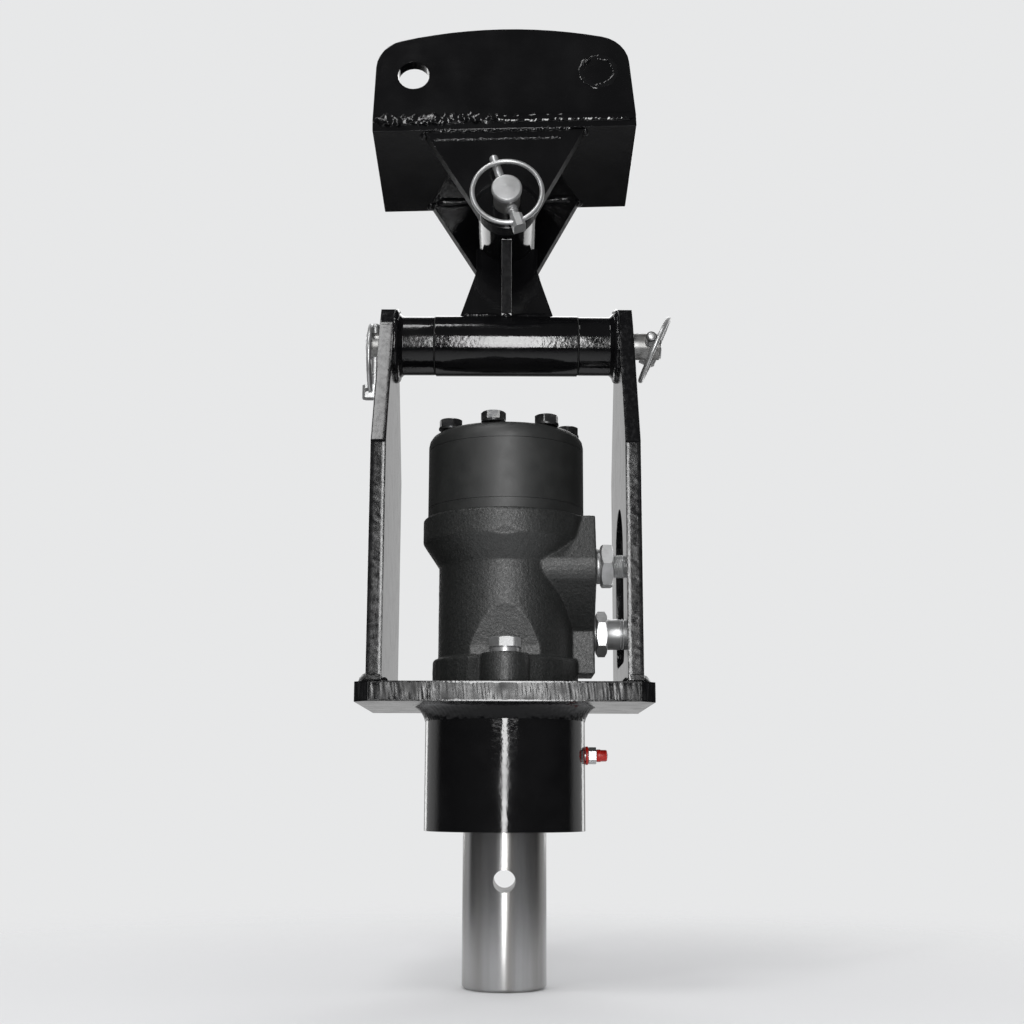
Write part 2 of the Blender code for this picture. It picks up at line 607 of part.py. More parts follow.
def yoke_plate():
    """Yoke base plate with its front corners cut, bored for the motor's pilot and bolts."""
    wide = PLATE_WIDTH / 2
    deep = PLATE_DEPTH / 2
    cut = PLATE_CORNER
    plate = piece("yoke_base_plate", prism([
        (-wide + cut, -deep), (wide - cut, -deep), (wide, -deep + cut), (wide, deep), (-wide, deep),
        (-wide, -deep + cut)], PLATE_FOOT_Z, PLATE_TOP_Z), PAINT, DRIVE)
    low = PLATE_FOOT_Z - PLATE_THICKNESS / 2
    high = PLATE_TOP_Z + PLATE_THICKNESS / 2
    drilled(plate, "pilot_hole", [((0.0, 0.0), MOTOR_PILOT_DIA + 2 * GAP, low, high)], "Z", DRIVE, FINE)
    bolt_low = PLATE_FOOT_Z + MOTOR_BOLT_TIP_CLEARANCE - GAP
    holes = [(spot, MOTOR_BOLT_DIA + 2 * GAP, bolt_low, high) for spot in around(2, MOTOR_BOLT_RADIUS)]
    drilled(plate, "plate_bolt_holes", holes, "Z", DRIVE, COARSE)


def yoke_legs():
    """The two legs, the right one with its hose window, and the bushes welded inside them."""
    foot = PLATE_TOP_Z + GAP
    shoulder = PIN_Z - LEG_SHOULDER_BELOW_PIN
    top = PIN_Z + LEG_ABOVE_PIN
    neck = LEG_TOP_WIDTH / 2 + LEG_TOP_CHAMFER_RUN
    outline = [(-LEG_WIDTH / 2, foot), (LEG_WIDTH / 2, foot), (LEG_WIDTH / 2, shoulder),
               (neck, top - LEG_TOP_CHAMFER_DROP), (LEG_TOP_WIDTH / 2, top), (-LEG_TOP_WIDTH / 2, top),
               (-neck, top - LEG_TOP_CHAMFER_DROP), (-LEG_WIDTH / 2, shoulder)]
    for label, side in (("left", -1), ("right", 1)):
        low, high = sorted((side * LEG_INNER, side * LEG_OUTER))
        leg = piece("yoke_leg_" + label, prism(outline, low, high, "X"), PAINT, DRIVE)
        hole = ((0.0, PIN_Z), PIN_DIA + 2 * GAP, low - LEG_THICKNESS, high + LEG_THICKNESS)
        drilled(leg, "leg_hole_" + label, [hole], "X", DRIVE)
        if side > 0:
            window = hose_window_outline()
            cutter = prism(window, low - LEG_THICKNESS, high + LEG_THICKNESS, "X")
            combine(leg, tool("hose_window", cutter, DRIVE))
        bore = PIN_DIA / 2 + GAP
        out = YOKE_BUSH_DIA / 2
        face = LEG_INNER - GAP
        profile = [(bore, side * (face - YOKE_BUSH_LENGTH)), (out, side * (face - YOKE_BUSH_LENGTH)),
                   (out, side * (face - YOKE_BUSH_FILLET)), (out + YOKE_BUSH_FILLET, side * face),
                   (bore, side * face)]
        piece("yoke_bush_" + label, turned(profile, ROUND, "X", (0.0, 0.0, PIN_Z)), PAINT, DRIVE)


def hose_window_outline():
    """Arched window, square at its sill with rounded corners."""
    half = (PORT_LOWER_Y - PORT_UPPER_Y) / 2 + WINDOW_BESIDE_PORT
    sill = PLATE_TOP_Z + PORT_LOWER_HEIGHT - WINDOW_BELOW_PORT
    crown = PLATE_TOP_Z + PORT_UPPER_HEIGHT + WINDOW_ABOVE_PORT - half
    y = (PORT_LOWER_Y + PORT_UPPER_Y) / 2
    r = WINDOW_CORNER
    return (arc((y, crown), half, 0, 180, ROUND // 2) + arc((y - half + r, sill + r), r, 180, 270, 4)
            + arc((y + half - r, sill + r), r, 270, 360, 4))


def lower_pin():
    """Pin through the legs and the cradle's lower tube, cross drilled near both ends."""
    bar = rod(PIN_DIA / 2, -LOWER_PIN_LEFT, LOWER_PIN_RIGHT, PIN_CHAMFER)
    pin = piece("lower_pin", turned(bar, ROUND, "X", (0.0, 0.0, PIN_Z)), ZINC, DRIVE)
    hole = LINCH_SHANK_DIA + 2 * GAP
    upright = [((-LINCH_LEFT_X, 0.0), hole, PIN_Z - PIN_DIA, PIN_Z + PIN_DIA)]
    drilled(pin, "lower_pin_hole_left", upright, "Z", DRIVE, SMALL)
    level = [((LINCH_RIGHT_X, PIN_Z), hole, -PIN_DIA, PIN_DIA)]
    drilled(pin, "lower_pin_hole_right", level, "Y", DRIVE, SMALL)


def upper_pin():
    """Pin through the lugs and the cradle's upper tube, cross drilled at both ends."""
    bar = rod(PIN_DIA / 2, -UPPER_PIN_HALF, UPPER_PIN_HALF, PIN_CHAMFER)
    pin = piece("upper_pin", turned(bar, ROUND, "Y"), ZINC, HITCH)
    bm = bmesh.new()
    for end in (-1, 1):
        hole = bmesh.new()
        add_turned(hole, rod(LINCH_SHANK_DIA / 2 + GAP, -PIN_DIA, PIN_DIA), SMALL)
        tilt = Matrix.Rotation(-LINCH_UPPER_TILT, 4, "Y")
        hole.transform(Matrix.Translation((0, end * LINCH_UPPER_Y, 0)) @ tilt)
        mesh = bpy.data.meshes.new("linch_hole")
        hole.to_mesh(mesh)
        hole.free()
        bm.from_mesh(mesh)
        bpy.data.meshes.remove(mesh)
    combine(pin, tool("upper_pin_holes", bm, HITCH))


def linch_pin(label, parent, centre, outward, tip, slide=0.0):
    """Linch pin: a shank through a cross hole, and a ring hinged in its head that snaps round the pin's end.

    outward points out along the held pin, and tip along the shank toward its free end.
    """
    out = Vector(outward).normalized()
    up = Vector(tip).normalized()
    side = (-out).cross(up)
    turn = Matrix((side, -out, up)).transposed().to_4x4()
    place = Matrix.Translation(centre) @ turn @ Matrix.Translation((0, 0, slide))
    radius = LINCH_SHANK_DIA / 2
    head_foot = -LINCH_HEAD_REACH - LINCH_HEAD_LENGTH / 2
    head_top = -LINCH_HEAD_REACH + LINCH_HEAD_LENGTH / 2
    front = -RING_OFFSET - RING_WIRE
    wide = LINCH_HEAD_WIDTH / 2
    corner = LINCH_HEAD_WIDTH / 4
    outline = [(-wide, radius), (-wide, front + corner), (-wide + corner, front), (wide - corner, front),
               (wide, front + corner), (wide, radius)]
    head = prism(outline, head_foot, head_top)
    shank = piece("linch_pin_" + label, head, ZINC, parent, matrix=place)
    rod_part = turned([(0.0, head_foot + radius), (radius, head_foot + radius), (radius, LINCH_TIP - radius),
                       (radius * 0.5, LINCH_TIP), (0.0, LINCH_TIP)], SMALL)
    combine(shank, tool("linch_shank_" + label, rod_part, parent, place), "UNION")
    hole = bmesh.new()
    add_turned(hole, rod(RING_WIRE / 2 + RING_PLAY, -LINCH_HEAD_WIDTH, LINCH_HEAD_WIDTH), SMALL, "X",
               (0, -RING_OFFSET, -LINCH_HEAD_REACH))
    combine(shank, tool("linch_eye_" + label, hole, parent, place))
    ring_radius = (RING_DIA - RING_WIRE) / 2
    wire = turned([(ring_radius + RING_WIRE / 2 * cos(k * pi / 3), RING_WIRE / 2 * sin(k * pi / 3))
                   for k in range(6)], ROUND + TINY // 2)
    wire.transform(Matrix.Translation((0, 0, ring_radius)) @ Matrix.Rotation(pi / 2, 4, "X"))
    at_eye = place @ Matrix.Translation((0, -RING_OFFSET, -LINCH_HEAD_REACH))
    piece("linch_ring_" + label, wire, ZINC, parent, matrix=at_eye)


def linch_pins():
    """The four linch pins, turned and slid in their holes as the photograph shows them."""
    tilt = LINCH_UPPER_TILT
    up = (-sin(tilt), 0, cos(tilt))
    linch_pin("front", HITCH, (0, -LINCH_UPPER_Y, 0), (0, -1, 0), up)
    linch_pin("rear", HITCH, (0, LINCH_UPPER_Y, 0), (0, 1, 0), up)
    linch_pin("left", DRIVE, (-LINCH_LEFT_X, 0, PIN_Z), (-1, 0, 0), (0, 0, 1), -LINCH_LEFT_DROP)
    roll = LINCH_RIGHT_ROLL
    linch_pin("right", DRIVE, (LINCH_RIGHT_X, 0, PIN_Z), (cos(roll), 0, -sin(roll)), (0, -1, 0))


def cradle():
    """Universal joint block: two crossed tubes with liners, and the web between them with its cross rib."""
    low = -PIN_SPACING
    lower_tube = sleeve(TUBE_BORE, LOWER_TUBE_DIA / 2, -LOWER_TUBE_HALF, LOWER_TUBE_HALF)
    piece("cradle_lower_tube", turned(lower_tube, ROUND, "X", (0, 0, low)), PAINT, CRADLE)
    upper_tube = sleeve(TUBE_BORE, UPPER_TUBE_DIA / 2, -UPPER_TUBE_HALF, UPPER_TUBE_HALF)
    piece("cradle_upper_tube", turned(upper_tube, ROUND, "Y"), PAINT, CRADLE)
    for label, half, axis, centre in (("lower", LOWER_TUBE_HALF, "X", (0, 0, low)),
                                      ("upper", UPPER_TUBE_HALF, "Y", (0, 0, 0))):
        liner = sleeve(LINER_BORE, TUBE_BORE - GAP, -half, half)
        piece("cradle_" + label + "_liner", turned(liner, ROUND, axis, centre), BRONZE, CRADLE)

    foot = low + LOWER_TUBE_DIA / 4
    web_foot = low + LOWER_TUBE_DIA / 2
    neck = -WEB_NECK_BELOW_PIN
    top = -WEB_TOP_BELOW_PIN
    wide = WEB_FOOT_WIDTH / 2
    narrow = WEB_NECK_WIDTH / 2
    web = piece("cradle_web", prism([
        (-wide, foot), (wide, foot), (wide, web_foot), (narrow, neck), (narrow, top), (-narrow, top),
        (-narrow, neck), (-wide, web_foot)], -WEB_THICKNESS / 2, WEB_THICKNESS / 2, "Y"), PAINT, CRADLE)
    saddle = rod(LOWER_TUBE_DIA / 2 + GAP * 1.5, -LOWER_TUBE_HALF, LOWER_TUBE_HALF)
    saddle_tool = tool("cradle_lower_saddle", turned(saddle, FINE, "X", (0, 0, low)), CRADLE)
    seat = rod(UPPER_TUBE_DIA / 2 + GAP * 1.5, -UPPER_TUBE_HALF, UPPER_TUBE_HALF)
    seat_tool = tool("cradle_upper_saddle", turned(seat, FINE, "Y"), CRADLE)
    reach = UPPER_TUBE_HALF - RIB_TOP_SETBACK
    under = -UPPER_TUBE_DIA / 2
    bend = web_foot - PIN_CHAMFER * 2
    outline = [(-RIB_FOOT_REACH, foot), (RIB_FOOT_REACH, foot), (RIB_FOOT_REACH, bend), (reach, under),
               (reach, under / 2), (-reach, under / 2), (-reach, under), (-RIB_FOOT_REACH, bend)]
    rib = prism(outline, -RIB_THICKNESS / 2, RIB_THICKNESS / 2, "X")
    combine(web, tool("cradle_rib", rib, CRADLE), "UNION")
    combine(web, saddle_tool)
    combine(web, seat_tool)


def hitch_lugs():
    """Two lugs under the hitch plate, tapering to a round end about the upper pin."""
    top = HITCH_PLATE_FOOT - GAP
    half = LUG_TOP_WIDTH / 2
    radius = LUG_END_RADIUS
    tangent = degrees(acos(radius / hypot(half, top)) - atan2(top, half))
    outline = [(half, top), (-half, top)] + arc((0, 0), radius, 180 + tangent, 360 - tangent, ROUND // 2)
    for label, side in (("front", -1), ("rear", 1)):
        low, high = sorted((side * LUG_INNER, side * LUG_OUTER))
        lug = piece("hitch_lug_" + label, prism(outline, low, high, "Y"), PAINT, HITCH)
        hole = ((0.0, 0.0), PIN_DIA + 2 * GAP, low - LUG_THICKNESS, high + LUG_THICKNESS)
        drilled(lug, "lug_hole_" + label, [hole], "Y", HITCH)


def hitch_ears():
    """Base plate of the hitch, its two ears with a low crown, and the cross pin welded into them."""
    half = HITCH_WIDTH / 2
    deep = HITCH_DEPTH / 2
    pin_x = HITCH_HOLE_X + CROSS_PIN_SHIFT
    piece("hitch_base_plate", prism([(-half, -deep), (half, -deep), (half, deep), (-half, deep)],
                                    HITCH_PLATE_FOOT, HITCH_PLATE_TOP), PAINT, HITCH)
    foot = HITCH_PLATE_TOP + GAP
    crown_z = HITCH_PLATE_TOP + EAR_HEIGHT - EAR_CROWN_RADIUS
    corner_x = half - EAR_NARROWING - EAR_CORNER
    corner_z = crown_z + sqrt((EAR_CROWN_RADIUS - EAR_CORNER) ** 2 - corner_x ** 2)
    draft = degrees(atan2(EAR_NARROWING, corner_z - foot))
    meet = degrees(atan2(corner_z - crown_z, corner_x))
    right = arc((corner_x, corner_z), EAR_CORNER, draft, meet, 6)
    top = arc((0.0, crown_z), EAR_CROWN_RADIUS, meet, 180 - meet, 12)[1:-1]
    left = [(-x, z) for x, z in reversed(right)]
    outline = [(-half, foot), (half, foot)] + right + top + left
    hole_z = HITCH_PLATE_TOP + HITCH_HOLE_HEIGHT
    for label, side in (("front", -1), ("rear", 1)):
        low, high = sorted((side * (deep - EAR_THICKNESS), side * deep))
        ear = piece("hitch_ear_" + label, prism(outline, low, high, "Y"), PAINT, HITCH)
        holes = [((x, hole_z), HITCH_HOLE_DIA, low - EAR_THICKNESS, high + EAR_THICKNESS)
                 for x in (-HITCH_HOLE_X, pin_x)]
        drilled(ear, "ear_holes_" + label, holes, "Y", HITCH)
    piece("hitch_cross_pin", turned(rod(HITCH_HOLE_DIA / 2 - GAP, -deep, deep, GAP * 2), ROUND, "Y",
                                    (pin_x, 0, hole_z)), PAINT, HITCH)


def port_block_outline():
    """Side outline of the cast port block: two bosses joined by a slanting wall."""
    upper = (PORT_UPPER_Y, PLATE_TOP_Z + PORT_UPPER_HEIGHT)
    lower = (PORT_LOWER_Y, PLATE_TOP_Z + PORT_LOWER_HEIGHT)
    foot = PLATE_TOP_Z + MOTOR_FLANGE_THICKNESS / 2
    r = PORT_BOSS_RADIUS
    return ([(upper[0] - PORT_TOP_FRONT_REACH, RIM_TOP_Z)] + arc(upper, r, 172, 212, 5)
            + [(lower[0] - r, lower[1]), (lower[0] - r, foot), (lower[0] + r, foot)] + arc(lower, r, 0, 20, 2)
            + [(lower[0] + PORT_TOP_REAR_REACH, RIM_TOP_Z)])


def motor_housing():
    """Cast motor housing: flange, bored body, flared rim, port block and bolt facets."""
    base = PLATE_TOP_Z + GAP
    flange_top = base + MOTOR_FLANGE_THICKNESS
    body = MOTOR_BODY_DIA / 2
    rim = MOTOR_RIM_DIA / 2
    bore = SPOOL_DIA / 2 + GAP
    seal_bore = SHAFT_SEAL_DIA / 2 + GAP
    pilot_foot = base - MOTOR_PILOT_DEPTH
    seal_top = pilot_foot + SEAL_RECESS + SHAFT_SEAL_LENGTH + GAP
    throat = OUTPUT_DIA / 2 + SHAFT_THROAT_PLAY
    spool_foot = PLATE_TOP_Z + SPOOL_FOOT - GAP
    pilot = MOTOR_PILOT_DIA / 2
    flange = MOTOR_FLANGE_DIA / 2
    housing = piece("motor_housing", turned([
        (0.0, pilot_foot), (pilot, pilot_foot), (pilot, base), (flange, base), (flange, flange_top - MOTOR_FLANGE_EDGE),
        (flange - MOTOR_FLANGE_EDGE, flange_top), (body, flange_top), (body, PLATE_TOP_Z + MOTOR_CONE_FOOT),
        (rim, PLATE_TOP_Z + MOTOR_CONE_TOP), (rim, RIM_TOP_Z - MOTOR_RIM_CHAMFER),
        (rim - MOTOR_RIM_CHAMFER, RIM_TOP_Z), (0.0, RIM_TOP_Z)]), CAST, DRIVE)
    ear = MOTOR_EAR_WIDTH / 2
    slot = (arc((0, -MOTOR_BOLT_RADIUS), ear, 180, 360, ROUND // 2)
            + arc((0, MOTOR_BOLT_RADIUS), ear, 0, 180, ROUND // 2))
    tube = bmesh.new()
    add_prism(tube, slot, base, flange_top, "Z")
    combine(housing, tool("motor_flange_ears", tube, DRIVE), "UNION")
    block = prism(port_block_outline(), bore + MOTOR_RIM_CHAMFER, PORT_FACE_X, "X")
    combine(housing, tool("motor_port_block", block, DRIVE), "UNION")

    shallow = MOTOR_BOLT_RADIUS - SPRING_WASHER_DIA / 2 - FACET_CLEARANCE
    slope_foot = PLATE_TOP_Z + FACET_FOOT
    over = shallow + MOTOR_EAR_WIDTH
    top = slope_foot + MOTOR_EAR_WIDTH * FACET_STEEPNESS
    facet = [(shallow, flange_top), (over, flange_top), (over, top), (shallow, slope_foot)]
    facets = bmesh.new()
    half = MOTOR_FLANGE_DIA / 4
    add_prism(facets, [(y, z) for y, z in facet], -half, half, "X")
    add_prism(facets, [(-y, z) for y, z in facet], -half, half, "X")
    combine(housing, tool("motor_bolt_facets", facets, DRIVE))
    below = pilot_foot - MOTOR_FLANGE_EDGE
    above = RIM_TOP_Z + MOTOR_FLANGE_EDGE
    inside = turned([(0.0, below), (seal_bore, below), (seal_bore, seal_top), (throat, seal_top),
                     (throat, spool_foot), (bore, spool_foot), (bore, above), (0.0, above)], ROUND)
    combine(housing, tool("motor_stepped_bore", inside, DRIVE))

    flange_holes = [(spot, MOTOR_BOLT_DIA + 2 * GAP, base - PLATE_THICKNESS / 2, flange_top + PLATE_THICKNESS)
                    for spot in around(2, MOTOR_BOLT_RADIUS)]
    drilled(housing, "flange_holes", flange_holes, "Z", DRIVE, COARSE)
    tapped = cover_bolt_holes(RIM_TOP_Z - COVER_BOLT_BITE, GEROTOR_FOOT_Z)
    drilled(housing, "rim_holes", tapped, "Z", DRIVE, TINY)
    deep = PORT_FACE_X - PORT_BORE_DEPTH
    ports = [(spot, PORT_BORE_DIA, deep, PORT_FACE_X + PORT_BORE_DEPTH) for spot in port_spots()]
    drilled(housing, "port_bores", ports, "X", DRIVE, COARSE)


def cover_bolt_holes(low, high):
    """Holes for the cover bolts, for drilling any piece of the stack."""
    spots = around(COVER_BOLT_COUNT, COVER_BOLT_CIRCLE / 2, COVER_BOLT_FIRST)
    return [(spot, COVER_BOLT_DIA + 2 * GAP, low, high) for spot in spots]


def port_spots():
    """Centres of the two ports in the YZ plane."""
    return [(PORT_UPPER_Y, PLATE_TOP_Z + PORT_UPPER_HEIGHT), (PORT_LOWER_Y, PLATE_TOP_Z + PORT_LOWER_HEIGHT)]


def hose_adapters():
    """Hexagonal hose adapters in the two ports, each standing off by the height of its sealing washer."""
    face = PORT_FACE_X + GAP
    shank = ADAPTER_SHANK_DIA / 2
    across = ADAPTER_HEX / 2
    bevel = ADAPTER_HEX_BEVEL
    sizes = (("upper", UPPER_SEAL_THICKNESS, UPPER_HEX_LENGTH, UPPER_NECK_DIA, UPPER_NECK_LENGTH, 0.0),
             ("lower", LOWER_SEAL_THICKNESS, LOWER_HEX_LENGTH, LOWER_NECK_DIA, LOWER_NECK_LENGTH, pi / 6))
    for (label, seal, nut, neck_dia, neck, turn), spot in zip(sizes, port_spots()):
        frame = empty("port_" + label + "_frame", DRIVE, (0.0, spot[0], spot[1]))
        nut_foot = face + seal + GAP
        nut_top = nut_foot + nut
        nut_body = prism(hexagon((0, 0), ADAPTER_HEX, turn), nut_foot, nut_top, "X")
        adapter = piece("port_adapter_" + label, nut_body, ZINC, frame)
        low = nut_foot - GAP
        high = nut_top + GAP
        wide = across + 2 * bevel
        rounding = turned(rod(wide, low, high, bevel), COARSE, "X")
        combine(adapter, tool("adapter_corners_" + label, rounding, frame), "INTERSECT")
        stems = bmesh.new()
        add_turned(stems, rod(shank, PORT_FACE_X - PORT_BORE_DEPTH + GAP * 4, nut_foot + GAP), COARSE, "X")
        add_turned(stems, rod(neck_dia / 2, nut_top - GAP, nut_top + neck), ROUND, "X")
        combine(adapter, tool("adapter_stems_" + label, stems, frame), "UNION")
        way = bmesh.new()
        through = rod(ADAPTER_BORE_DIA / 2, PORT_FACE_X - PORT_BORE_DEPTH, nut_top + neck + shank)
        add_turned(way, through, SMALL, "X")
        combine(adapter, tool("adapter_bore_" + label, way, frame))


def motor_stack():
    """Spacer plate, gerotor ring and end cover, drilled for the cover bolts that clamp them."""
    outer = MOTOR_STACK_DIA / 2
    holes = cover_bolt_holes(RIM_TOP_Z - COVER_THICKNESS, COVER_TOP_Z + COVER_THICKNESS)
    plate = turned(rod(outer, RIM_TOP_Z + GAP, GEROTOR_FOOT_Z))
    spacer = piece("motor_spacer_plate", plate, SMOOTH_GREY, DRIVE)
    drilled(spacer, "spacer_holes", holes, "Z", DRIVE, TINY)
    drilled(spacer, "spacer_bore", [((0.0, 0.0), SPACER_PLATE_BORE, RIM_TOP_Z, COVER_FOOT_Z)], "Z", DRIVE)
    star_tip = LOBE_CIRCLE / 2 - LOBE_DIA / 2 + 2 * ECCENTRICITY
    ring = piece("gerotor_ring", turned(rod(outer, GEROTOR_FOOT_Z + GAP, COVER_FOOT_Z)), SMOOTH_GREY, DRIVE)
    drilled(ring, "ring_holes", holes, "Z", DRIVE, TINY)
    inside = prism(ring_bore_outline(star_tip + 2 * GAP), RIM_TOP_Z, COVER_TOP_Z)
    combine(ring, tool("gerotor_ring_bore", inside, DRIVE))
    r = COVER_EDGE_RADIUS
    cover = piece("motor_end_cover", turned(
        [(0.0, COVER_FOOT_Z + GAP), (outer, COVER_FOOT_Z + GAP)]
        + arc((outer - r, COVER_TOP_Z - r), r, 0, 90, 4) + [(0.0, COVER_TOP_Z)]), SMOOTH_GREY, DRIVE)
    drilled(cover, "cover_holes", holes, "Z", DRIVE, TINY)


def ring_bore_outline(radius):
    """Bore of the gerotor ring: a circle with a round lobe standing into it between the bolts."""
    pitch = LOBE_CIRCLE / 2
    lobe = LOBE_DIA / 2
    meet = degrees(acos((lobe ** 2 + pitch ** 2 - radius ** 2) / (2 * lobe * pitch)))
    spread = degrees(acos((radius ** 2 + pitch ** 2 - lobe ** 2) / (2 * radius * pitch)))
    step = 360 / LOBE_COUNT
    outline = []
    for x, y in around(LOBE_COUNT, pitch, LOBE_FIRST):
        bearing_angle = degrees(atan2(y, x))
        outline += arc((x, y), lobe, bearing_angle + 180 + meet, bearing_angle + 180 - meet, 8)
        outline += arc((0, 0), radius, bearing_angle + spread, bearing_angle + step - spread, 3)[1:-1]
    return outline


def gerotor():
    """Star that rolls round inside the ring's lobes, and the drive link that takes its turning down."""
    foot = GEROTOR_FOOT_Z + 2 * GAP
    top = COVER_FOOT_Z - GAP
    lobe = around(LOBE_COUNT, LOBE_CIRCLE / 2, LOBE_FIRST)[0]
    lobe_angle = atan2(lobe[1], lobe[0])
    lean_out = Vector((cos(lobe_angle), sin(lobe_angle), 0.0)) * ECCENTRICITY
    link_frame = empty("cardan_frame", DRIVE)
    star_frame = empty("star_frame", link_frame, lean_out)
    star = piece("gerotor_star", prism(star_outline(lobe_angle), foot, top), BEARING_STEEL, star_frame)
    bore = CARDAN_HEAD_DIA / 2 + CARDAN_PLAY
    hole = bmesh.new()
    add_turned(hole, rod(bore, foot - GEROTOR_THICKNESS, top + GEROTOR_THICKNESS), COARSE)
    combine(star, tool("gerotor_star_bore", hole, star_frame))

    pivot_low = PLATE_TOP_Z + CARDAN_FOOT + CARDAN_HEAD_LENGTH / 2
    pivot_high = top - GEROTOR_THICKNESS / 2
    tilt = atan2(ECCENTRICITY, pivot_high - pivot_low)
    head = CARDAN_HEAD_DIA / 2
    neck = CARDAN_NECK_DIA / 2
    length = (pivot_high - pivot_low) / cos(tilt) + CARDAN_HEAD_LENGTH
    crown = CARDAN_PLAY
    link = turned([
        (0.0, 0.0), (head - crown, 0.0), (head, CARDAN_HEAD_LENGTH / 2), (head - crown, CARDAN_HEAD_LENGTH),
        (neck, CARDAN_HEAD_LENGTH + crown * 4), (neck, length - CARDAN_HEAD_LENGTH - crown * 4),
        (head - crown, length - CARDAN_HEAD_LENGTH), (head, length - CARDAN_HEAD_LENGTH / 2),
        (head - crown, length), (0.0, length)], COARSE)
    axis = Vector((lean_out.y, -lean_out.x, 0.0))
    place = (Matrix.Translation((0, 0, pivot_low)) @ Matrix.Rotation(-tilt, 4, axis)
             @ Matrix.Translation((0, 0, -CARDAN_HEAD_LENGTH / 2)))
    piece("cardan_shaft", link, STEEL, link_frame, matrix=place)


def star_outline(lobe_angle):
    """Outline of the star: the curve that the ring's lobes leave as it rolls round inside them."""
    count = LOBE_COUNT
    pitch = LOBE_CIRCLE / 2
    lobe = LOBE_DIA / 2 + GAP
    points = []
    for step in range(STAR_STEPS * (count - 1)):
        phi = 2 * pi * step / (STAR_STEPS * (count - 1))
        psi = atan2(sin((1 - count) * phi), pitch / (ECCENTRICITY * count) - cos((1 - count) * phi))
        x = pitch * cos(phi) - lobe * cos(phi + psi) - ECCENTRICITY * cos(count * phi)
        y = -pitch * sin(phi) + lobe * sin(phi + psi) + ECCENTRICITY * sin(count * phi)
        points.append((x * cos(lobe_angle) - y * sin(lobe_angle), x * sin(lobe_angle) + y * cos(lobe_angle)))
    return points


def output_train():
    """The motor's output shaft with its hollow spool, its key in the auger shaft, and its seal."""
    low = OUTPUT_FOOT_Z
    base = PLATE_TOP_Z + GAP
    radius = OUTPUT_DIA / 2
    spool = SPOOL_DIA / 2
    spool_foot = PLATE_TOP_Z + SPOOL_FOOT
    spool_top = RIM_TOP_Z - SPOOL_TOP_DROP
    bore = CARDAN_HEAD_DIA / 2 + CARDAN_PLAY
    bore_foot = PLATE_TOP_Z + CARDAN_FOOT - CARDAN_PLAY * 3
    chamfer = PIN_CHAMFER
    shaft = piece("motor_output_shaft", turned([
        (0.0, low), (radius - chamfer, low), (radius, low + chamfer), (radius, spool_foot),
        (spool, spool_foot), (spool, spool_top), (bore, spool_top), (bore, bore_foot),
        (0.0, bore_foot)], ROUND), STEEL, OUTPUT)
    seat = radius - KEY_SEAT
    key_low = low + SEAL_RECESS * 2
    half = KEY_WIDTH / 2
    slot = bmesh.new()
    add_prism(slot, stadium(half + GAP, key_low, KEY_LENGTH), seat, radius + KEY_HEIGHT, "X")
    combine(shaft, tool("output_keyway", slot, OUTPUT))
    key = prism(stadium(half, key_low, KEY_LENGTH), seat + GAP, seat + KEY_HEIGHT, "X")
    piece("drive_key", key, STEEL, OUTPUT)
    seal_foot = base - MOTOR_PILOT_DEPTH + SEAL_RECESS
    piece("motor_shaft_seal", turned(sleeve(radius + GAP, SHAFT_SEAL_DIA / 2, seal_foot,
                                            seal_foot + SHAFT_SEAL_LENGTH), ROUND), RUBBER, DRIVE)


def stadium(half, foot, length):
    """Slot outline in the YZ plane, round at both ends."""
    middle = KEY_WIDTH / 2
    return (arc((0, foot + middle), half, 180, 360, SMALL // 2)
            + arc((0, foot + length - middle), half, 0, 180, SMALL // 2))


def bolt(name, spot, size, washer, foot, tip, finish, faces):
    """Hexagon head bolt with its captive washer, standing on a face with its shank down to the tip height."""
    diameter, across, head = size
    washer_radius, washer_thickness = washer
    seat = foot + washer_thickness
    frame = empty(name + "_axis", DRIVE, (*spot, 0.0))
    body = piece(name, turned([(0.0, tip), (diameter / 2, tip), (diameter / 2, foot), (washer_radius, foot),
                               (washer_radius, seat), (0.0, seat)], faces), finish, frame)
    nut = prism(hexagon((0, 0), across, pi / 2), seat - GAP, seat + head)
    combine(body, tool(name + "_head", nut, frame), "UNION")


def motor_bolts():
    """Two flange bolts on thick spring washers, and the seven cover bolts."""
    for label, spot in zip(("front", "rear"), around(2, MOTOR_BOLT_RADIUS)):
        bolt("motor_flange_bolt_" + label, spot, (MOTOR_BOLT_DIA, MOTOR_BOLT_HEX, MOTOR_BOLT_HEAD),
             (SPRING_WASHER_DIA / 2, SPRING_WASHER_THICKNESS), PLATE_TOP_Z + MOTOR_FLANGE_THICKNESS + 2 * GAP,
             PLATE_FOOT_Z + MOTOR_BOLT_TIP_CLEARANCE, ZINC, COARSE)
    for number, spot in enumerate(around(COVER_BOLT_COUNT, COVER_BOLT_CIRCLE / 2, COVER_BOLT_FIRST), 1):
        bolt("cover_bolt_" + str(number), spot, (COVER_BOLT_DIA, COVER_BOLT_HEX, COVER_BOLT_HEAD),
             (COVER_WASHER_DIA / 2, COVER_WASHER_THICKNESS), COVER_TOP_Z + GAP,
             RIM_TOP_Z - COVER_BOLT_BITE + GAP, BLACK_OXIDE, TINY)


hitch_ears()
hitch_lugs()
upper_pin()
cradle()
yoke_plate()
yoke_legs()
lower_pin()
linch_pins()
hub_housing()
bearing("lower", LOWER_BEARING_Z)
bearing("upper", UPPER_BEARING_Z)
hub_inner_pieces()
grease_nipple()
auger_shaft()
motor_housing()
motor_stack()
gerotor()
output_train()
hose_adapters()
motor_bolts()
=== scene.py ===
"""Looks of the earth auger drive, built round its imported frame. All sizes are in metres."""
import json
from math import atan2, cos, hypot, pi, radians, sin, sqrt, tan

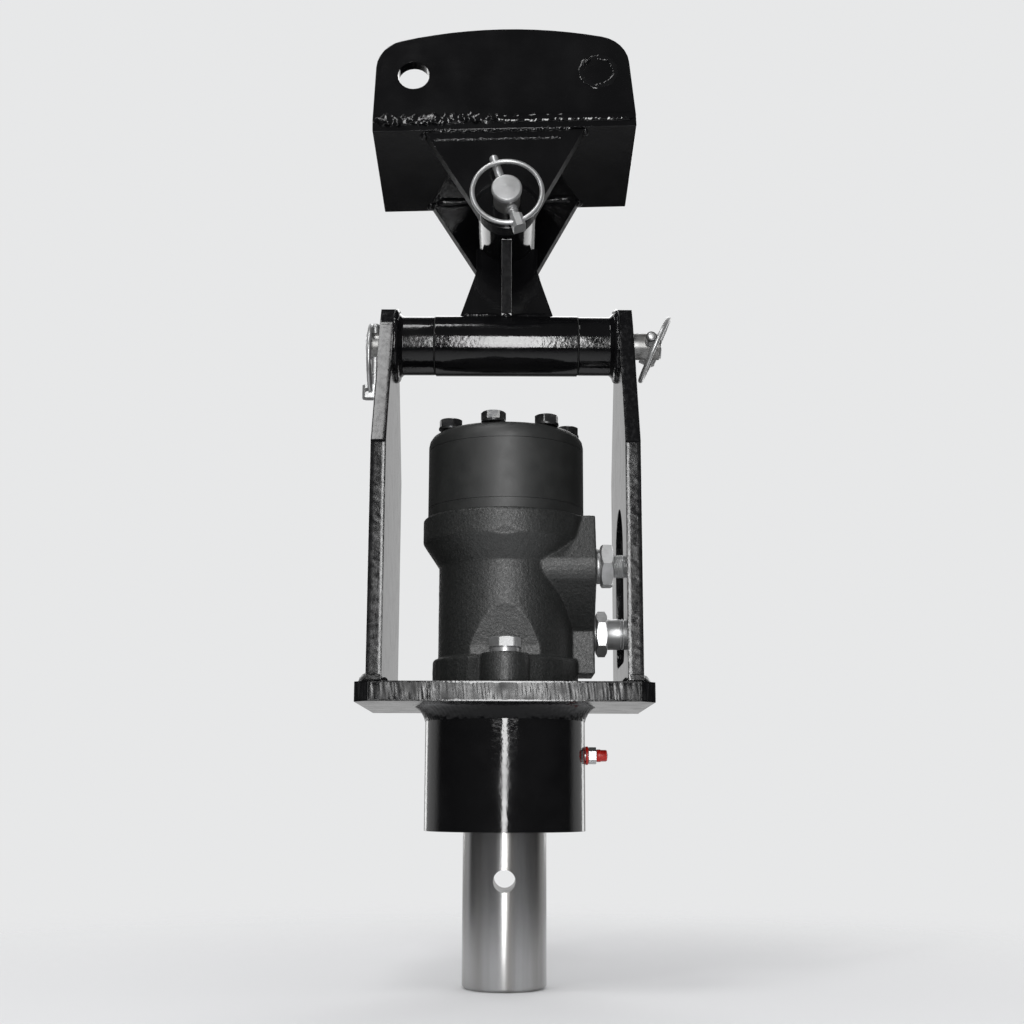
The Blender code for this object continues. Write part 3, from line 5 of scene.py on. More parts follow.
import bmesh
import bpy
import numpy as np
from mathutils import Matrix, Vector, noise
from mathutils.geometry import convex_hull_2d


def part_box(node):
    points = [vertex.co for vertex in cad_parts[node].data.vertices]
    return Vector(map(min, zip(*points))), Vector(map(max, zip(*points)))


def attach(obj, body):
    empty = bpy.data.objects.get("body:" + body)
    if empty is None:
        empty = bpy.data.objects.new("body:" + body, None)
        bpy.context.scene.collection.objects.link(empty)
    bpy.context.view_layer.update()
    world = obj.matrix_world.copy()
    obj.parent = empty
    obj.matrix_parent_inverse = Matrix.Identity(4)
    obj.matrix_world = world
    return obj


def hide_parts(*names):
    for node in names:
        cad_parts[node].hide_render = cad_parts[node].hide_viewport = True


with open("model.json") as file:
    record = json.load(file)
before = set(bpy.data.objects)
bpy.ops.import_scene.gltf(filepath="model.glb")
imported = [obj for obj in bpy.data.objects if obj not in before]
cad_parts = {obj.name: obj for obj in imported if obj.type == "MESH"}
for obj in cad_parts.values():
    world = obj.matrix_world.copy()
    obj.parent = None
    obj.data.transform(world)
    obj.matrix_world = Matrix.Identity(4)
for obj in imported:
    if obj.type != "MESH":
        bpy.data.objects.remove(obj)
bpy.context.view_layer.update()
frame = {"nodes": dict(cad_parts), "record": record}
nodes = frame["nodes"]

# Sizes and places repeated from the model
GAP = 0.0003
LEAN = radians(7.8)
HITCH_SWING = radians(-1.7)
PIN_SPACING = 0.100
PIN_Z = 0.5108
PLATE_TOP = 0.2273
PLATE_FOOT = 0.2123
LEG_INNER = 0.0915
LEG_OUTER = 0.1035
UPPER_PIN_HALF = 0.08435
FLANGE_BOLT_Y = 0.060
CRADLE_PLACE = (Matrix.Translation((0.0, PIN_SPACING * sin(LEAN), PIN_Z + PIN_SPACING * cos(LEAN)))
                @ Matrix.Rotation(-LEAN, 4, "X"))
HITCH_PLACE = CRADLE_PLACE @ Matrix.Rotation(HITCH_SWING, 4, "Y")
WORLD = Matrix.Identity(4)
AXES = {"Z": WORLD, "X": Matrix.Rotation(pi / 2, 4, "Y"), "Y": Matrix.Rotation(-pi / 2, 4, "X")}

# Facets the model gives its large and its small round solids
FINE = 36
ROUND = 24

# Points nearer than this are one, edges steeper than this shade sharp, and how wide they are rounded
SAME_POINT = 1e-6
SHARP_ANGLE = radians(32)
PAINTED_EDGE = 0.0007
METAL_EDGE = 0.0004
UNBEVELLED = ("gerotor_star", "gerotor_ring", "auger_shaft")


class Finish:
    """A Principled material whose colour, roughness and surface come from procedural noise.

    A grain is the scale per metre of the noise, its detail and, where it is drawn out, its stretch along
    each axis.
    """

    def __init__(self, name, colour, rough, metallic, specular):
        self.made = bpy.data.materials.new(name)
        self.made.use_nodes = True
        self.tree = self.made.node_tree
        self.shader = self.tree.nodes["Principled BSDF"]
        self.coords = self.tree.nodes.new("ShaderNodeTexCoord").outputs["Object"]
        self.shader.inputs["Base Color"].default_value = (*colour, 1.0)
        self.shader.inputs["Roughness"].default_value = rough
        self.shader.inputs["Metallic"].default_value = metallic
        self.shader.inputs["Specular IOR Level"].default_value = specular
        self.normal = None

    def noise(self, scale, detail, stretch=(1.0, 1.0, 1.0)):
        """Noise of a grain."""
        mapping = self.tree.nodes.new("ShaderNodeMapping")
        mapping.inputs["Scale"].default_value = stretch
        self.tree.links.new(self.coords, mapping.inputs["Vector"])
        made = self.tree.nodes.new("ShaderNodeTexNoise")
        made.inputs["Scale"].default_value = scale
        made.inputs["Detail"].default_value = detail
        self.tree.links.new(mapping.outputs["Vector"], made.inputs["Vector"])
        return made.outputs["Fac"]

    def spread(self, grain, low, high, to_low, to_high):
        """Noise moved from one range to another and held there."""
        made = self.tree.nodes.new("ShaderNodeMapRange")
        set_range(made, low, high, to_low, to_high)
        self.tree.links.new(self.noise(*grain), made.inputs["Value"])
        return made.outputs["Result"]

    def tint(self, grain, low, high, first, second):
        """Base colour that runs between two colours."""
        made = self.tree.nodes.new("ShaderNodeMix")
        made.data_type = "RGBA"
        made.inputs["A"].default_value = (*first, 1.0)
        made.inputs["B"].default_value = (*second, 1.0)
        self.tree.links.new(self.spread(grain, low, high, 0.0, 1.0), made.inputs["Factor"])
        self.tree.links.new(made.outputs["Result"], self.shader.inputs["Base Color"])

    def gloss(self, grain, low, high, least, most):
        """Roughness that runs between two values."""
        self.tree.links.new(self.spread(grain, low, high, least, most), self.shader.inputs["Roughness"])

    def bump(self, grain, distance):
        """Raise the surface by noise; bumps stack on each other."""
        made = self.tree.nodes.new("ShaderNodeBump")
        made.inputs["Distance"].default_value = distance
        made.inputs["Strength"].default_value = 1.0
        self.tree.links.new(self.noise(*grain), made.inputs["Height"])
        if self.normal is not None:
            self.tree.links.new(self.normal, made.inputs["Normal"])
        self.normal = made.outputs["Normal"]
        self.tree.links.new(self.normal, self.shader.inputs["Normal"])


def set_range(node, low, high, to_low, to_high):
    """Set the four ends of a Map Range node."""
    for socket, number in zip(("From Min", "From Max", "To Min", "To Max"), (low, high, to_low, to_high)):
        node.inputs[socket].default_value = number


def finishes():
    """Every material by the name of its slot in the record, or of its use where a slot has several."""
    made = {}

    def add(use, name, colour, rough, metallic=0.0, specular=0.5, tint=None, gloss=None, bumps=()):
        finish = Finish(name, colour, rough, metallic, specular)
        if tint:
            finish.tint(*tint)
        if gloss:
            finish.gloss(*gloss)
        for bump in bumps:
            finish.bump(*bump)
        made[use] = finish.made

    add("black_paint", "gloss_black_paint", (0.004, 0.004, 0.0045), 0.09,
        tint=((28, 5), 0.42, 0.72, (0.003, 0.003, 0.0034), (0.006, 0.006, 0.0065)),
        gloss=((55, 6), 0.35, 0.75, 0.06, 0.16), bumps=(((60, 2), 0.00006), ((330, 3), 0.00007)))
    add("weld", "weld_black_paint", (0.005, 0.005, 0.0055), 0.10,
        gloss=((90, 4), 0.35, 0.75, 0.06, 0.18), bumps=(((520, 3), 0.00025),))
    torn = ((420, 4, (1, 1, 0.15)), 0.5, 0.8, (0.004, 0.004, 0.0045), (0.018, 0.018, 0.019))
    add("cut", "cut_edge_black_paint", (0.006, 0.006, 0.007), 0.16,
        tint=torn, gloss=((200, 4), 0.35, 0.75, 0.12, 0.26), bumps=(((900, 3), 0.00004),))
    add("cut_plate", "cut_plate_black_paint", (0.006, 0.006, 0.007), 0.16, specular=0.36,
        tint=torn, gloss=((60, 4), 0.35, 0.70, 0.08, 0.40), bumps=(((900, 3), 0.00004),))
    add("bright_steel", "turned_bright_steel", (0.34, 0.34, 0.345), 0.28, metallic=0.95,
        tint=((60, 5, (1, 1, 0.02)), 0.36, 0.68, (0.46, 0.46, 0.465), (0.28, 0.272, 0.260)),
        gloss=((70, 5, (1, 1, 0.05)), 0.35, 0.75, 0.17, 0.30), bumps=(((90, 3, (1, 1, 0.3)), 0.00002),))
    add("zinc_plate", "zinc_plated_steel", (0.60, 0.605, 0.61), 0.32, metallic=0.8,
        tint=((150, 5), 0.40, 0.72, (0.62, 0.625, 0.63), (0.50, 0.505, 0.50)),
        gloss=((300, 4), 0.3, 0.8, 0.32, 0.45), bumps=(((900, 3), 0.000012),))
    # Darker copy of the zinc plate for the pins' sides: painted shade, with a random mottle, so the bright
    # turned end faces stand apart
    add("shaded_zinc", "shaded_zinc_pin", (0.34, 0.34, 0.335), 0.36, metallic=0.85,
        tint=((90, 5), 0.40, 0.70, (0.38, 0.38, 0.375), (0.20, 0.195, 0.185)),
        gloss=((200, 4), 0.3, 0.8, 0.30, 0.48))
    add("motor_casting", "cast_iron_paint", (0.016, 0.017, 0.0165), 0.50, specular=1.0,
        tint=((750, 5), 0.40, 0.70, (0.013, 0.014, 0.0135), (0.026, 0.027, 0.026)),
        gloss=((520, 4), 0.3, 0.75, 0.36, 0.58), bumps=(((620, 3), 0.00030), ((1700, 3), 0.00014)))
    add("motor_smooth_grey", "machined_iron_paint", (0.015, 0.016, 0.0155), 0.50, specular=1.0,
        tint=((45, 6), 0.40, 0.70, (0.013, 0.014, 0.0135), (0.019, 0.020, 0.019)),
        gloss=((90, 5), 0.3, 0.75, 0.48, 0.57), bumps=(((1300, 3), 0.00003),))
    add("black_oxide", "black_oxide_steel", (0.075, 0.076, 0.078), 0.32, metallic=0.8,
        tint=((240, 5), 0.42, 0.7, (0.055, 0.056, 0.058), (0.12, 0.12, 0.118)),
        bumps=(((1200, 3), 0.00003),))
    add("bearing_steel", "ground_bearing_steel", (0.56, 0.57, 0.58), 0.16, metallic=1.0,
        gloss=((300, 4), 0.3, 0.8, 0.12, 0.26))
    add("liner_bronze", "bronze_liner", (0.52, 0.33, 0.14), 0.34, metallic=1.0,
        tint=((200, 5), 0.40, 0.70, (0.56, 0.36, 0.16), (0.33, 0.22, 0.11)))
    add("fillet", "weld_fillet_black_paint", (0.004, 0.004, 0.0045), 0.12, specular=0.25,
        gloss=((90, 4), 0.35, 0.75, 0.08, 0.20), bumps=(((420, 3), 0.00020),))
    add("dull", "dull_black_paint", (0.006, 0.006, 0.0065), 0.46, specular=0.05,
        tint=((300, 4), 0.42, 0.72, (0.010, 0.010, 0.0105), (0.022, 0.022, 0.0225)),
        gloss=((160, 4), 0.35, 0.75, 0.46, 0.62))
    add("seal_rubber", "black_rubber", (0.018, 0.018, 0.018), 0.62, bumps=(((1500, 3), 0.00008),))
    add("red_plastic", "red_plastic", (0.48, 0.014, 0.008), 0.36,
        tint=((300, 4), 0.40, 0.70, (0.50, 0.015, 0.008), (0.36, 0.010, 0.008)),
        bumps=(((900, 2), 0.00008),))
    return made


MATERIALS = finishes()
SLOT_OF = {part["node"]: part["material_slot"] for part in frame["record"]["subparts"]}


def smooth_group():
    """Node group that shades smooth, and sharp across steep edges."""
    group = bpy.data.node_groups.new("smooth_by_edge", "GeometryNodeTree")
    group.interface.new_socket("Geometry", in_out="INPUT", socket_type="NodeSocketGeometry")
    group.interface.new_socket("Geometry", in_out="OUTPUT", socket_type="NodeSocketGeometry")
    entry = group.nodes.new("NodeGroupInput")
    leave = group.nodes.new("NodeGroupOutput")
    faces = group.nodes.new("GeometryNodeSetShadeSmooth")
    edges = group.nodes.new("GeometryNodeSetShadeSmooth")
    edges.domain = "EDGE"
    edges.inputs["Shade Smooth"].default_value = False
    angle = group.nodes.new("GeometryNodeInputMeshEdgeAngle")
    steep = group.nodes.new("FunctionNodeCompare")
    steep.data_type = "FLOAT"
    steep.operation = "GREATER_THAN"
    steep.inputs["B"].default_value = SHARP_ANGLE
    link = group.links.new
    link(entry.outputs[0], faces.inputs["Geometry"])
    link(faces.outputs["Geometry"], edges.inputs["Geometry"])
    link(angle.outputs["Unsigned Angle"], steep.inputs["A"])
    link(steep.outputs["Result"], edges.inputs["Selection"])
    link(edges.outputs["Geometry"], leave.inputs[0])
    return group


SMOOTH = smooth_group()
# The two pin bodies take the darker zinc: painted shade on their sides
SHADED_PINS = {"upper_pin": "shaded_zinc", "lower_pin": "shaded_zinc"}


def soften(name, obj):
    """Give a CAD node, or the piece that stands for it, its material, soft edges and smooth shading."""
    obj.data.materials.clear()
    obj.data.materials.append(MATERIALS[SHADED_PINS.get(name, SLOT_OF[name])])
    weld = obj.modifiers.new("weld", "WELD")
    weld.merge_threshold = SAME_POINT
    if name not in UNBEVELLED:
        bevel = obj.modifiers.new("bevel", "BEVEL")
        bevel.width = PAINTED_EDGE if SLOT_OF[name] == "black_paint" else METAL_EDGE
        bevel.segments = 2
        bevel.limit_method = "ANGLE"
        bevel.angle_limit = SHARP_ANGLE
    shade = obj.modifiers.new("smooth", "NODES")
    shade.node_group = SMOOTH
    flats = obj.modifiers.new("flats", "WEIGHTED_NORMAL")
    flats.keep_sharp = True


def refined(name, body, count, place):
    """A turned node with its facets split and moved out to the circle round their corners."""
    split = 4
    across_facet = 0.2
    off_facet = radians(0.5)
    source = nodes[name]
    mesh = source.data.copy()
    mesh.transform(place.inverted() @ source.matrix_world)
    pitch = 2 * pi / count
    bm = bmesh.new()
    bm.from_mesh(mesh)
    bmesh.ops.remove_doubles(bm, verts=bm.verts, dist=SAME_POINT)
    for k in range(count * split // 2):
        angle = pitch * k / split
        bmesh.ops.bisect_plane(bm, geom=bm.verts[:] + bm.edges[:] + bm.faces[:], dist=1e-7,
                               plane_co=(0, 0, 0), plane_no=(-sin(angle), cos(angle), 0))
    bm.normal_update()
    grown = {}
    for vertex in bm.verts:
        at = atan2(vertex.co.y, vertex.co.x)
        for face in vertex.link_faces:
            if hypot(face.normal.x, face.normal.y) < across_facet:
                continue
            facing = atan2(face.normal.y, face.normal.x)
            off = facing % pitch - pitch / 2
            if abs(off) < off_facet and abs(sin(at - facing)) < sin(pitch / 2 + 0.01):
                local = at % pitch - pitch / 2
                grown[vertex] = cos(local) / cos(pitch / 2)
    for vertex, share in grown.items():
        vertex.co.x *= share
        vertex.co.y *= share
    bm.to_mesh(mesh)
    bm.free()
    mesh.transform(place)
    obj = bpy.data.objects.new("round_" + name, mesh)
    bpy.context.scene.collection.objects.link(obj)
    soften(name, obj)
    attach(obj, body)
    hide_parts(name)


def turned_nodes():
    """Round pieces in place of the model's faceted ones."""
    for name, body in (("auger_shaft", "output"), ("hub_housing", "yoke"), ("motor_spacer_plate", "yoke"),
                       ("gerotor_ring", "yoke"), ("motor_end_cover", "yoke")):
        refined(name, body, FINE, WORLD)
    cross = Matrix.Translation((0, 0, PIN_Z)) @ AXES["X"]
    for name in ("yoke_bush_left", "yoke_bush_right", "lower_pin"):
        refined(name, "yoke", ROUND, cross)
    refined("cradle_lower_tube", "cradle", ROUND,
            CRADLE_PLACE @ Matrix.Translation((0, 0, -PIN_SPACING)) @ AXES["X"])
    refined("cradle_upper_tube", "cradle", ROUND, CRADLE_PLACE @ AXES["Y"])
    refined("upper_pin", "hitch", ROUND, HITCH_PLACE @ AXES["Y"])


def dull_skin(label, name, body, wanted):
    """Dull paint laid over the flat faces of a node that are wanted by their normal and middle."""
    share = 0.985
    proud = 0.00012
    sunk = 0.0003
    source = nodes[name]
    turn = source.matrix_world.to_3x3()
    groups = {}
    for face in source.data.polygons:
        normal = (turn @ face.normal).normalized()
        middle = source.matrix_world @ face.center
        if wanted(normal, middle):
            key = tuple(round(value, 2) for value in (*normal, normal.dot(middle) * 50))
            groups.setdefault(key, []).append(face)
    verts = []
    faces = []
    for group in groups.values():
        normal = (turn @ group[0].normal).normalized()
        first = normal.orthogonal().normalized()
        second = normal.cross(first)
        points = [source.matrix_world @ source.data.vertices[i].co for face in group for i in face.vertices]
        hull = [points[i] for i in convex_hull_2d([(p.dot(first), p.dot(second)) for p in points])]
        middle = sum(hull, Vector()) / len(hull)
        foot = len(verts)
        count = len(hull)
        verts += [middle + (p - middle) * share + normal * proud for p in hull]
        verts += [middle + (p - middle) * share - normal * sunk for p in hull]
        faces.append(tuple(range(foot, foot + count)))
        faces.append(tuple(range(foot + count, foot + 2 * count)))
        faces += [(foot + k, foot + (k + 1) % count, foot + count + (k + 1) % count, foot + count + k)
                  for k in range(count)]
    make(label, verts, faces, "dull", body, WORLD)


def dull_edges():
    """Dull paint on the rib's slopes and on the cut edges of the web and the lugs."""
    ahead = CRADLE_PLACE.to_3x3() @ Vector((0, 1, 0))
    back = HITCH_PLACE.inverted()

    def on_web(normal, middle):
        slope = abs(normal.x) < 0.05 and abs(middle.x) < 0.0045 and 0.75 < abs(normal.dot(ahead)) < 0.999
        return slope or (abs(normal.x) > 0.5 and abs(middle.x) > 0.006)

    def on_lug(normal, middle):
        local = back @ middle
        return abs(normal.dot(ahead)) < 0.3 and normal.z < 0.2 and hypot(local.x, local.z) > 0.020

    dull_skin("web_paint", "cradle_web", "cradle", on_web)
    for label in ("front", "rear"):
        dull_skin("lug_paint_" + label, "hitch_lug_" + label, "hitch", on_lug)


def dress_nodes():
    """Give every CAD node its looks."""
    for name, obj in nodes.items():
        soften(name, obj)


def make(name, verts, faces, finish, body, place=WORLD, sharp=35.0):
    """A new piece of the drive that rides on a body."""
    mesh = bpy.data.meshes.new(name)
    mesh.from_pydata([place @ Vector(v) for v in verts], [], faces)
    bm = bmesh.new()
    bm.from_mesh(mesh)
    bmesh.ops.recalc_face_normals(bm, faces=bm.faces)
    bm.to_mesh(mesh)
    bm.free()
    obj = bpy.data.objects.new(name, mesh)
    bpy.context.scene.collection.objects.link(obj)
    mesh.materials.append(MATERIALS[finish])
    mesh.shade_smooth()
    mesh.set_sharp_from_angle(angle=radians(sharp))
    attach(obj, body)
    return obj


def rings_to_mesh(rings, closed):
    """Vertices and faces of a skin over rings of points; closed joins the last ring to the first."""
    count = len(rings[0])
    verts = [point for ring in rings for point in ring]
    faces = []
    turns = len(rings) if closed else len(rings) - 1
    for i in range(turns):
        a, b = i * count, (i + 1) % len(rings) * count
        for j in range(count):
            k = (j + 1) % count
            faces.append((a + j, a + k, b + k, b + j))
    if not closed:
        faces.append(tuple(range(count)))
        faces.append(tuple(range(len(verts) - count, len(verts))))
    return verts, faces


def circle(radius, height=0.0, count=64):
    """Points round a circle about Z."""
    return [(radius * cos(2 * pi * k / count), radius * sin(2 * pi * k / count), height)
            for k in range(count)]


def lathe(name, profile, finish, body, axis="Z", centre=(0, 0, 0), place=WORLD, count=64, wave=None):
    """Turn a (radius, height) profile; it closes into a ring unless it starts and ends on the axis."""
    solid = profile[0][0] < 1e-9
    inner = profile[1:-1] if solid else profile
    rings = []
    for radius, height in inner:
        ring = []
        for j in range(count):
            angle = 2 * pi * j / count
            grown = radius + (wave(angle, radius, height) if wave else 0.0)
            ring.append((grown * cos(angle), grown * sin(angle), height))
        rings.append(ring)
    verts, faces = rings_to_mesh(rings, not solid)
    return make(name, verts, faces, finish, body, place @ Matrix.Translation(centre) @ AXES[axis])


def hex_radius(angle, flat, turn):
    """Radius of a hexagon at an angle."""
    local = (angle - turn) % (pi / 3) - pi / 6
    return flat / cos(local)


def hexagon_solid(name, across, low, high, finish, axis, centre, turn, bore=0.0, both=True):
    """Hexagon head on the yoke with the corners turned off at one end or both, as a nut or bolt has."""
    flat = across / 2
    start = flat * 0.97
    slope = tan(radians(30))
    step = 0.0001
    count = 72
    rings = []
    levels = [("low", 0.0), ("low", 1.0), ("high", 1.0), ("high", 0.0)]
    if bore:
        rings.append(circle(bore, low, count))
    for side, full in levels:
        ring = []
        for j in range(count):
            angle = 2 * pi * j / count
            edge = hex_radius(angle, flat, turn)
            drop = max(0.0, edge - start) * slope
            if side == "low" and not both:
                ring.append((edge * cos(angle), edge * sin(angle), low + step * full))
                continue
            radius = edge if full else min(edge, start)
            height = low + drop * full if side == "low" else high - drop * full
            ring.append((radius * cos(angle), radius * sin(angle), height))
        rings.append(ring)
    if bore:
        rings.append(circle(bore, high, count))
    verts, faces = rings_to_mesh(rings, bool(bore))
    return make(name, verts, faces, finish, "yoke", Matrix.Translation(centre) @ AXES[axis], sharp=25.0)


def threaded(name, radius, depth, pitch, low, high, finish, axis, centre, bore):
    """Bored stud on the yoke with a thread that runs round it in a helix and fades out at both ends."""
    steps = max(8, round((high - low) / pitch * 8))
    profile = [(bore, low)]
    profile += [(radius, low + (high - low) * k / steps) for k in range(steps + 1)]
    profile.append((bore, high))

    def wave(angle, at, height):
        if at != radius:
            return 0.0
        turn = (height / pitch - angle / (2 * pi)) % 1.0
        fade = min(1.0, (height - low) / pitch, (high - height) / pitch)
        return -depth * (1.0 - fade * (1.0 - abs(2 * turn - 1) ** 1.2))

    return lathe(name, profile, finish, "yoke", axis, centre, wave=wave)


def resampled(path, step, closed):
    """Points spaced evenly along a path of straight runs."""
    points = [Vector(p) for p in path]
    if closed:
        points.append(points[0])
    lengths = [0.0]
    for a, b in zip(points, points[1:]):
        lengths.append(lengths[-1] + (b - a).length)
    count = max(3, round(lengths[-1] / step))
    made = []
    span = 0
    for i in range(count if closed else count + 1):
        at = lengths[-1] * i / count
        while span < len(points) - 2 and lengths[span + 1] < at:
            span += 1
        share = (at - lengths[span]) / max(1e-9, lengths[span + 1] - lengths[span])
        made.append(points[span].lerp(points[span + 1], share))
    return made, lengths[-1]


def bead(name, path, out, wide, tall, body, place=WORLD, closed=False, centre=None, wave=0.0026, rough=0.16,
         seed=0, grain=0.5, fade=0.0, finish="weld"):
    """Weld bead along a path: an oval rope with the ripples and lumps of a hand weld.

    out is the way it stands proud, or with centre the bead stands out from that point, tilted by out.
    wave is the pitch of its ripples, rough the height of its lumps as a share of its own, grain how fine they
    are, and fade the share of them that is gone at the far end.
    """
    points, length = resampled(path, 0.0008, closed)
    sides = 14
    rings = []
    last = len(points) - 1
    for i, point in enumerate(points):
        ahead = points[(i + 1) % len(points)] if closed or i < last else point
        behind = points[i - 1] if closed or i > 0 else point
        along = (ahead - behind).normalized()
        away = Vector(out)
        if centre is not None:
            radial = point - Vector(centre)
            radial = (radial - radial.project(Vector(out).normalized())).normalized()
            away = (radial + Vector(out)).normalized()
        across = along.cross(away).normalized()
        rise = across.cross(along).normalized()
        at = length * i / max(1, len(points) - (0 if closed else 1))
        end = 1.0
        if not closed:
            end = min(1.0, sqrt(max(0.0, min(at, length - at)) / (wide * 1.2) + 0.02))
        ring = []
        for j in range(sides):
            angle = 2 * pi * j / sides
            lag = 0.8 * (1 - sin(angle)) * wide
            ripple = 0.5 + 0.5 * sin(2 * pi * (at + lag) / wave)
            spot = point * (grain / wide) + Vector((seed * 7.3, seed * 1.9, j * 0.5 * grain))
            lump = noise.noise(spot) * rough * 1.6 * (1.0 - fade * at / length)
            grow = end * (1.0 + 0.05 * ripple + lump)
            ring.append(point + across * (cos(angle) * wide * grow) + rise * (sin(angle) * tall * grow))
        rings.append(ring)
    verts, faces = rings_to_mesh(rings, closed)
    return make(name, verts, faces, finish, body, place, 80.0)


def ring_path(radius, centre, axis="Z", count=96):
    """Points round a circle about an axis."""
    turn = Matrix.Translation(centre) @ AXES[axis]
    return [turn @ Vector(point) for point in circle(radius, 0.0, count)]


def cut_edge(name, start, end, rise, out, depth, seed, lean, finish):
    """Flame-cut face of one of the yoke's plates: a thin skin with the drag lines of the torch across it."""
    step = 0.0006
    proud = 0.00012
    sunk = 0.0006
    start, end, rise, out = Vector(start), Vector(end), Vector(rise), Vector(out)
    length = (end - start).length
    along = (end - start) / length
    count = max(4, round(length / step))
    rows = 7
    rings = []
    margin = 0.0004
    for i in range(count + 1):
        at = margin + (length - 2 * margin) * i / count
        line = []
        for row in range(rows + 1):
            share = row / rows
            drag = at + lean * rise.length * share * share
            fine = noise.noise(Vector((drag * 900, seed * 3.1, share * 0.8)))
            broad = noise.noise(Vector((drag * 260, seed * 5.7 + 4.0, share * 1.5)))
            height = proud + depth * (0.55 * fine + 0.75 * broad)
            if i in (0, count) or row in (0, rows):
                height = -0.0001
            line.append(start + along * at + rise * (0.02 + 0.96 * share) + out * height)
        back = [start + along * at + rise * share - out * sunk for share in (0.98, 0.02)]
        rings.append(line + back)
    verts, faces = rings_to_mesh(rings, False)
    return make(name, verts, faces, finish, "yoke", WORLD, 60.0)


def camera_and_light():
    """Camera at the photograph's place and soft studio lamps."""
    scene = bpy.context.scene
    scene.view_settings.view_transform = "Standard"
    camera = bpy.data.objects.new("camera", bpy.data.cameras.new("camera"))
    scene.collection.objects.link(camera)
    camera.data.sensor_width = 36.0
    camera.data.lens = 50.98
    camera.data.clip_start = 0.01
    camera.matrix_world = (Matrix.Translation((0.005, -1.158, 0.1445))
                           @ Matrix.Rotation(radians(101.04), 4, "X")
                           @ Matrix.Rotation(radians(0.17), 4, "Z"))
    scene.camera = camera
    lamps = (("front_strip", (0.0, -1.75, 0.50), (0.0, 0.0, 0.42), (0.20, 1.30), 14.0),
             ("front_bar", (0.0, -1.75, 0.335), (0.0, 0.0, 0.335), (1.10, 0.05), 0.55),
             ("key_left", (-0.9, -1.3, 1.5), (0.0, 0.0, 0.45), (0.14, 0.14), 2.5),
             ("left_box", (-0.9, 1.6, 0.70), (0.0, 0.0, 0.40), (0.35, 1.3), 3.0),
             ("right_box", (1.0, 1.6, 0.70), (0.0, 0.0, 0.40), (0.35, 1.3), 3.0),
             ("top_box", (-0.36, -0.63, 1.9), (0.0, 0.0, 0.45), (0.42, 0.55), 5.5),
             ("rear_box", (0.2, 1.5, 1.6), (0.0, 0.0, 0.40), (1.0, 0.7), 5.0))
    for name, spot, target, size, power in lamps:
        data = bpy.data.lights.new(name, "AREA")
        data.shape = "RECTANGLE"
        data.size, data.size_y = size
        data.energy = power
        lamp = bpy.data.objects.new(name, data)
        scene.collection.objects.link(lamp)
        facing = (Vector(target) - Vector(spot)).to_track_quat("-Z", "Y")
        lamp.matrix_world = Matrix.Translation(spot) @ facing.to_matrix().to_4x4()
        lamp.visible_camera = False


def studio_world():
    """Pale backdrop for the camera, and a studio that is pale behind the drive and dim in front for gloss."""
    world = bpy.data.worlds.new("studio")
    bpy.context.scene.world = world
    world.use_nodes = True
    tree = world.node_tree
    tree.nodes.clear()
    link = tree.links.new
    leave = tree.nodes.new("ShaderNodeOutputWorld")
    path = tree.nodes.new("ShaderNodeLightPath")

    def background(colour):
        made = tree.nodes.new("ShaderNodeBackground")
        made.inputs["Color"].default_value = (*colour, 1.0)
        return made

    def choose(factor, first, second):
        made = tree.nodes.new("ShaderNodeMixShader")
        link(factor, made.inputs[0])
        link(first, made.inputs[1])
        link(second, made.inputs[2])
        return made.outputs[0]

    seen = background((0.80, 0.805, 0.81))
    soft = background((0.52, 0.52, 0.53))
    gloss = background((1.0, 1.0, 1.0))
    coords = tree.nodes.new("ShaderNodeTexCoord")
    split = tree.nodes.new("ShaderNodeSeparateXYZ")
    link(coords.outputs["Generated"], split.inputs[0])

    def spread(value, low, high, to_low, to_high):
        made = tree.nodes.new("ShaderNodeMapRange")
        made.interpolation_type = "SMOOTHSTEP"
        set_range(made, low, high, to_low, to_high)
        link(value, made.inputs["Value"])
        return made.outputs["Result"]

    def combine(operation, first, second):
        made = tree.nodes.new("ShaderNodeMath")
        made.operation = operation
        link(first, made.inputs[0])
        link(second, made.inputs[1])
        return made.outputs[0]

    across = combine("ADD", spread(split.outputs["Y"], 0.22, 0.52, 0.0, 0.50),
                     spread(split.outputs["Y"], -1.0, 0.05, 0.085, 0.035))
    upward = spread(split.outputs["Z"], -0.25, 0.0, 0.08, 1.0)
    link(combine("MULTIPLY", across, upward), gloss.inputs["Strength"])
    glossy = choose(path.outputs["Is Glossy Ray"], soft.outputs[0], gloss.outputs[0])
    through = choose(path.outputs["Is Transmission Ray"], glossy, seen.outputs[0])
    link(choose(path.outputs["Is Camera Ray"], through, seen.outputs[0]), leave.inputs["Surface"])


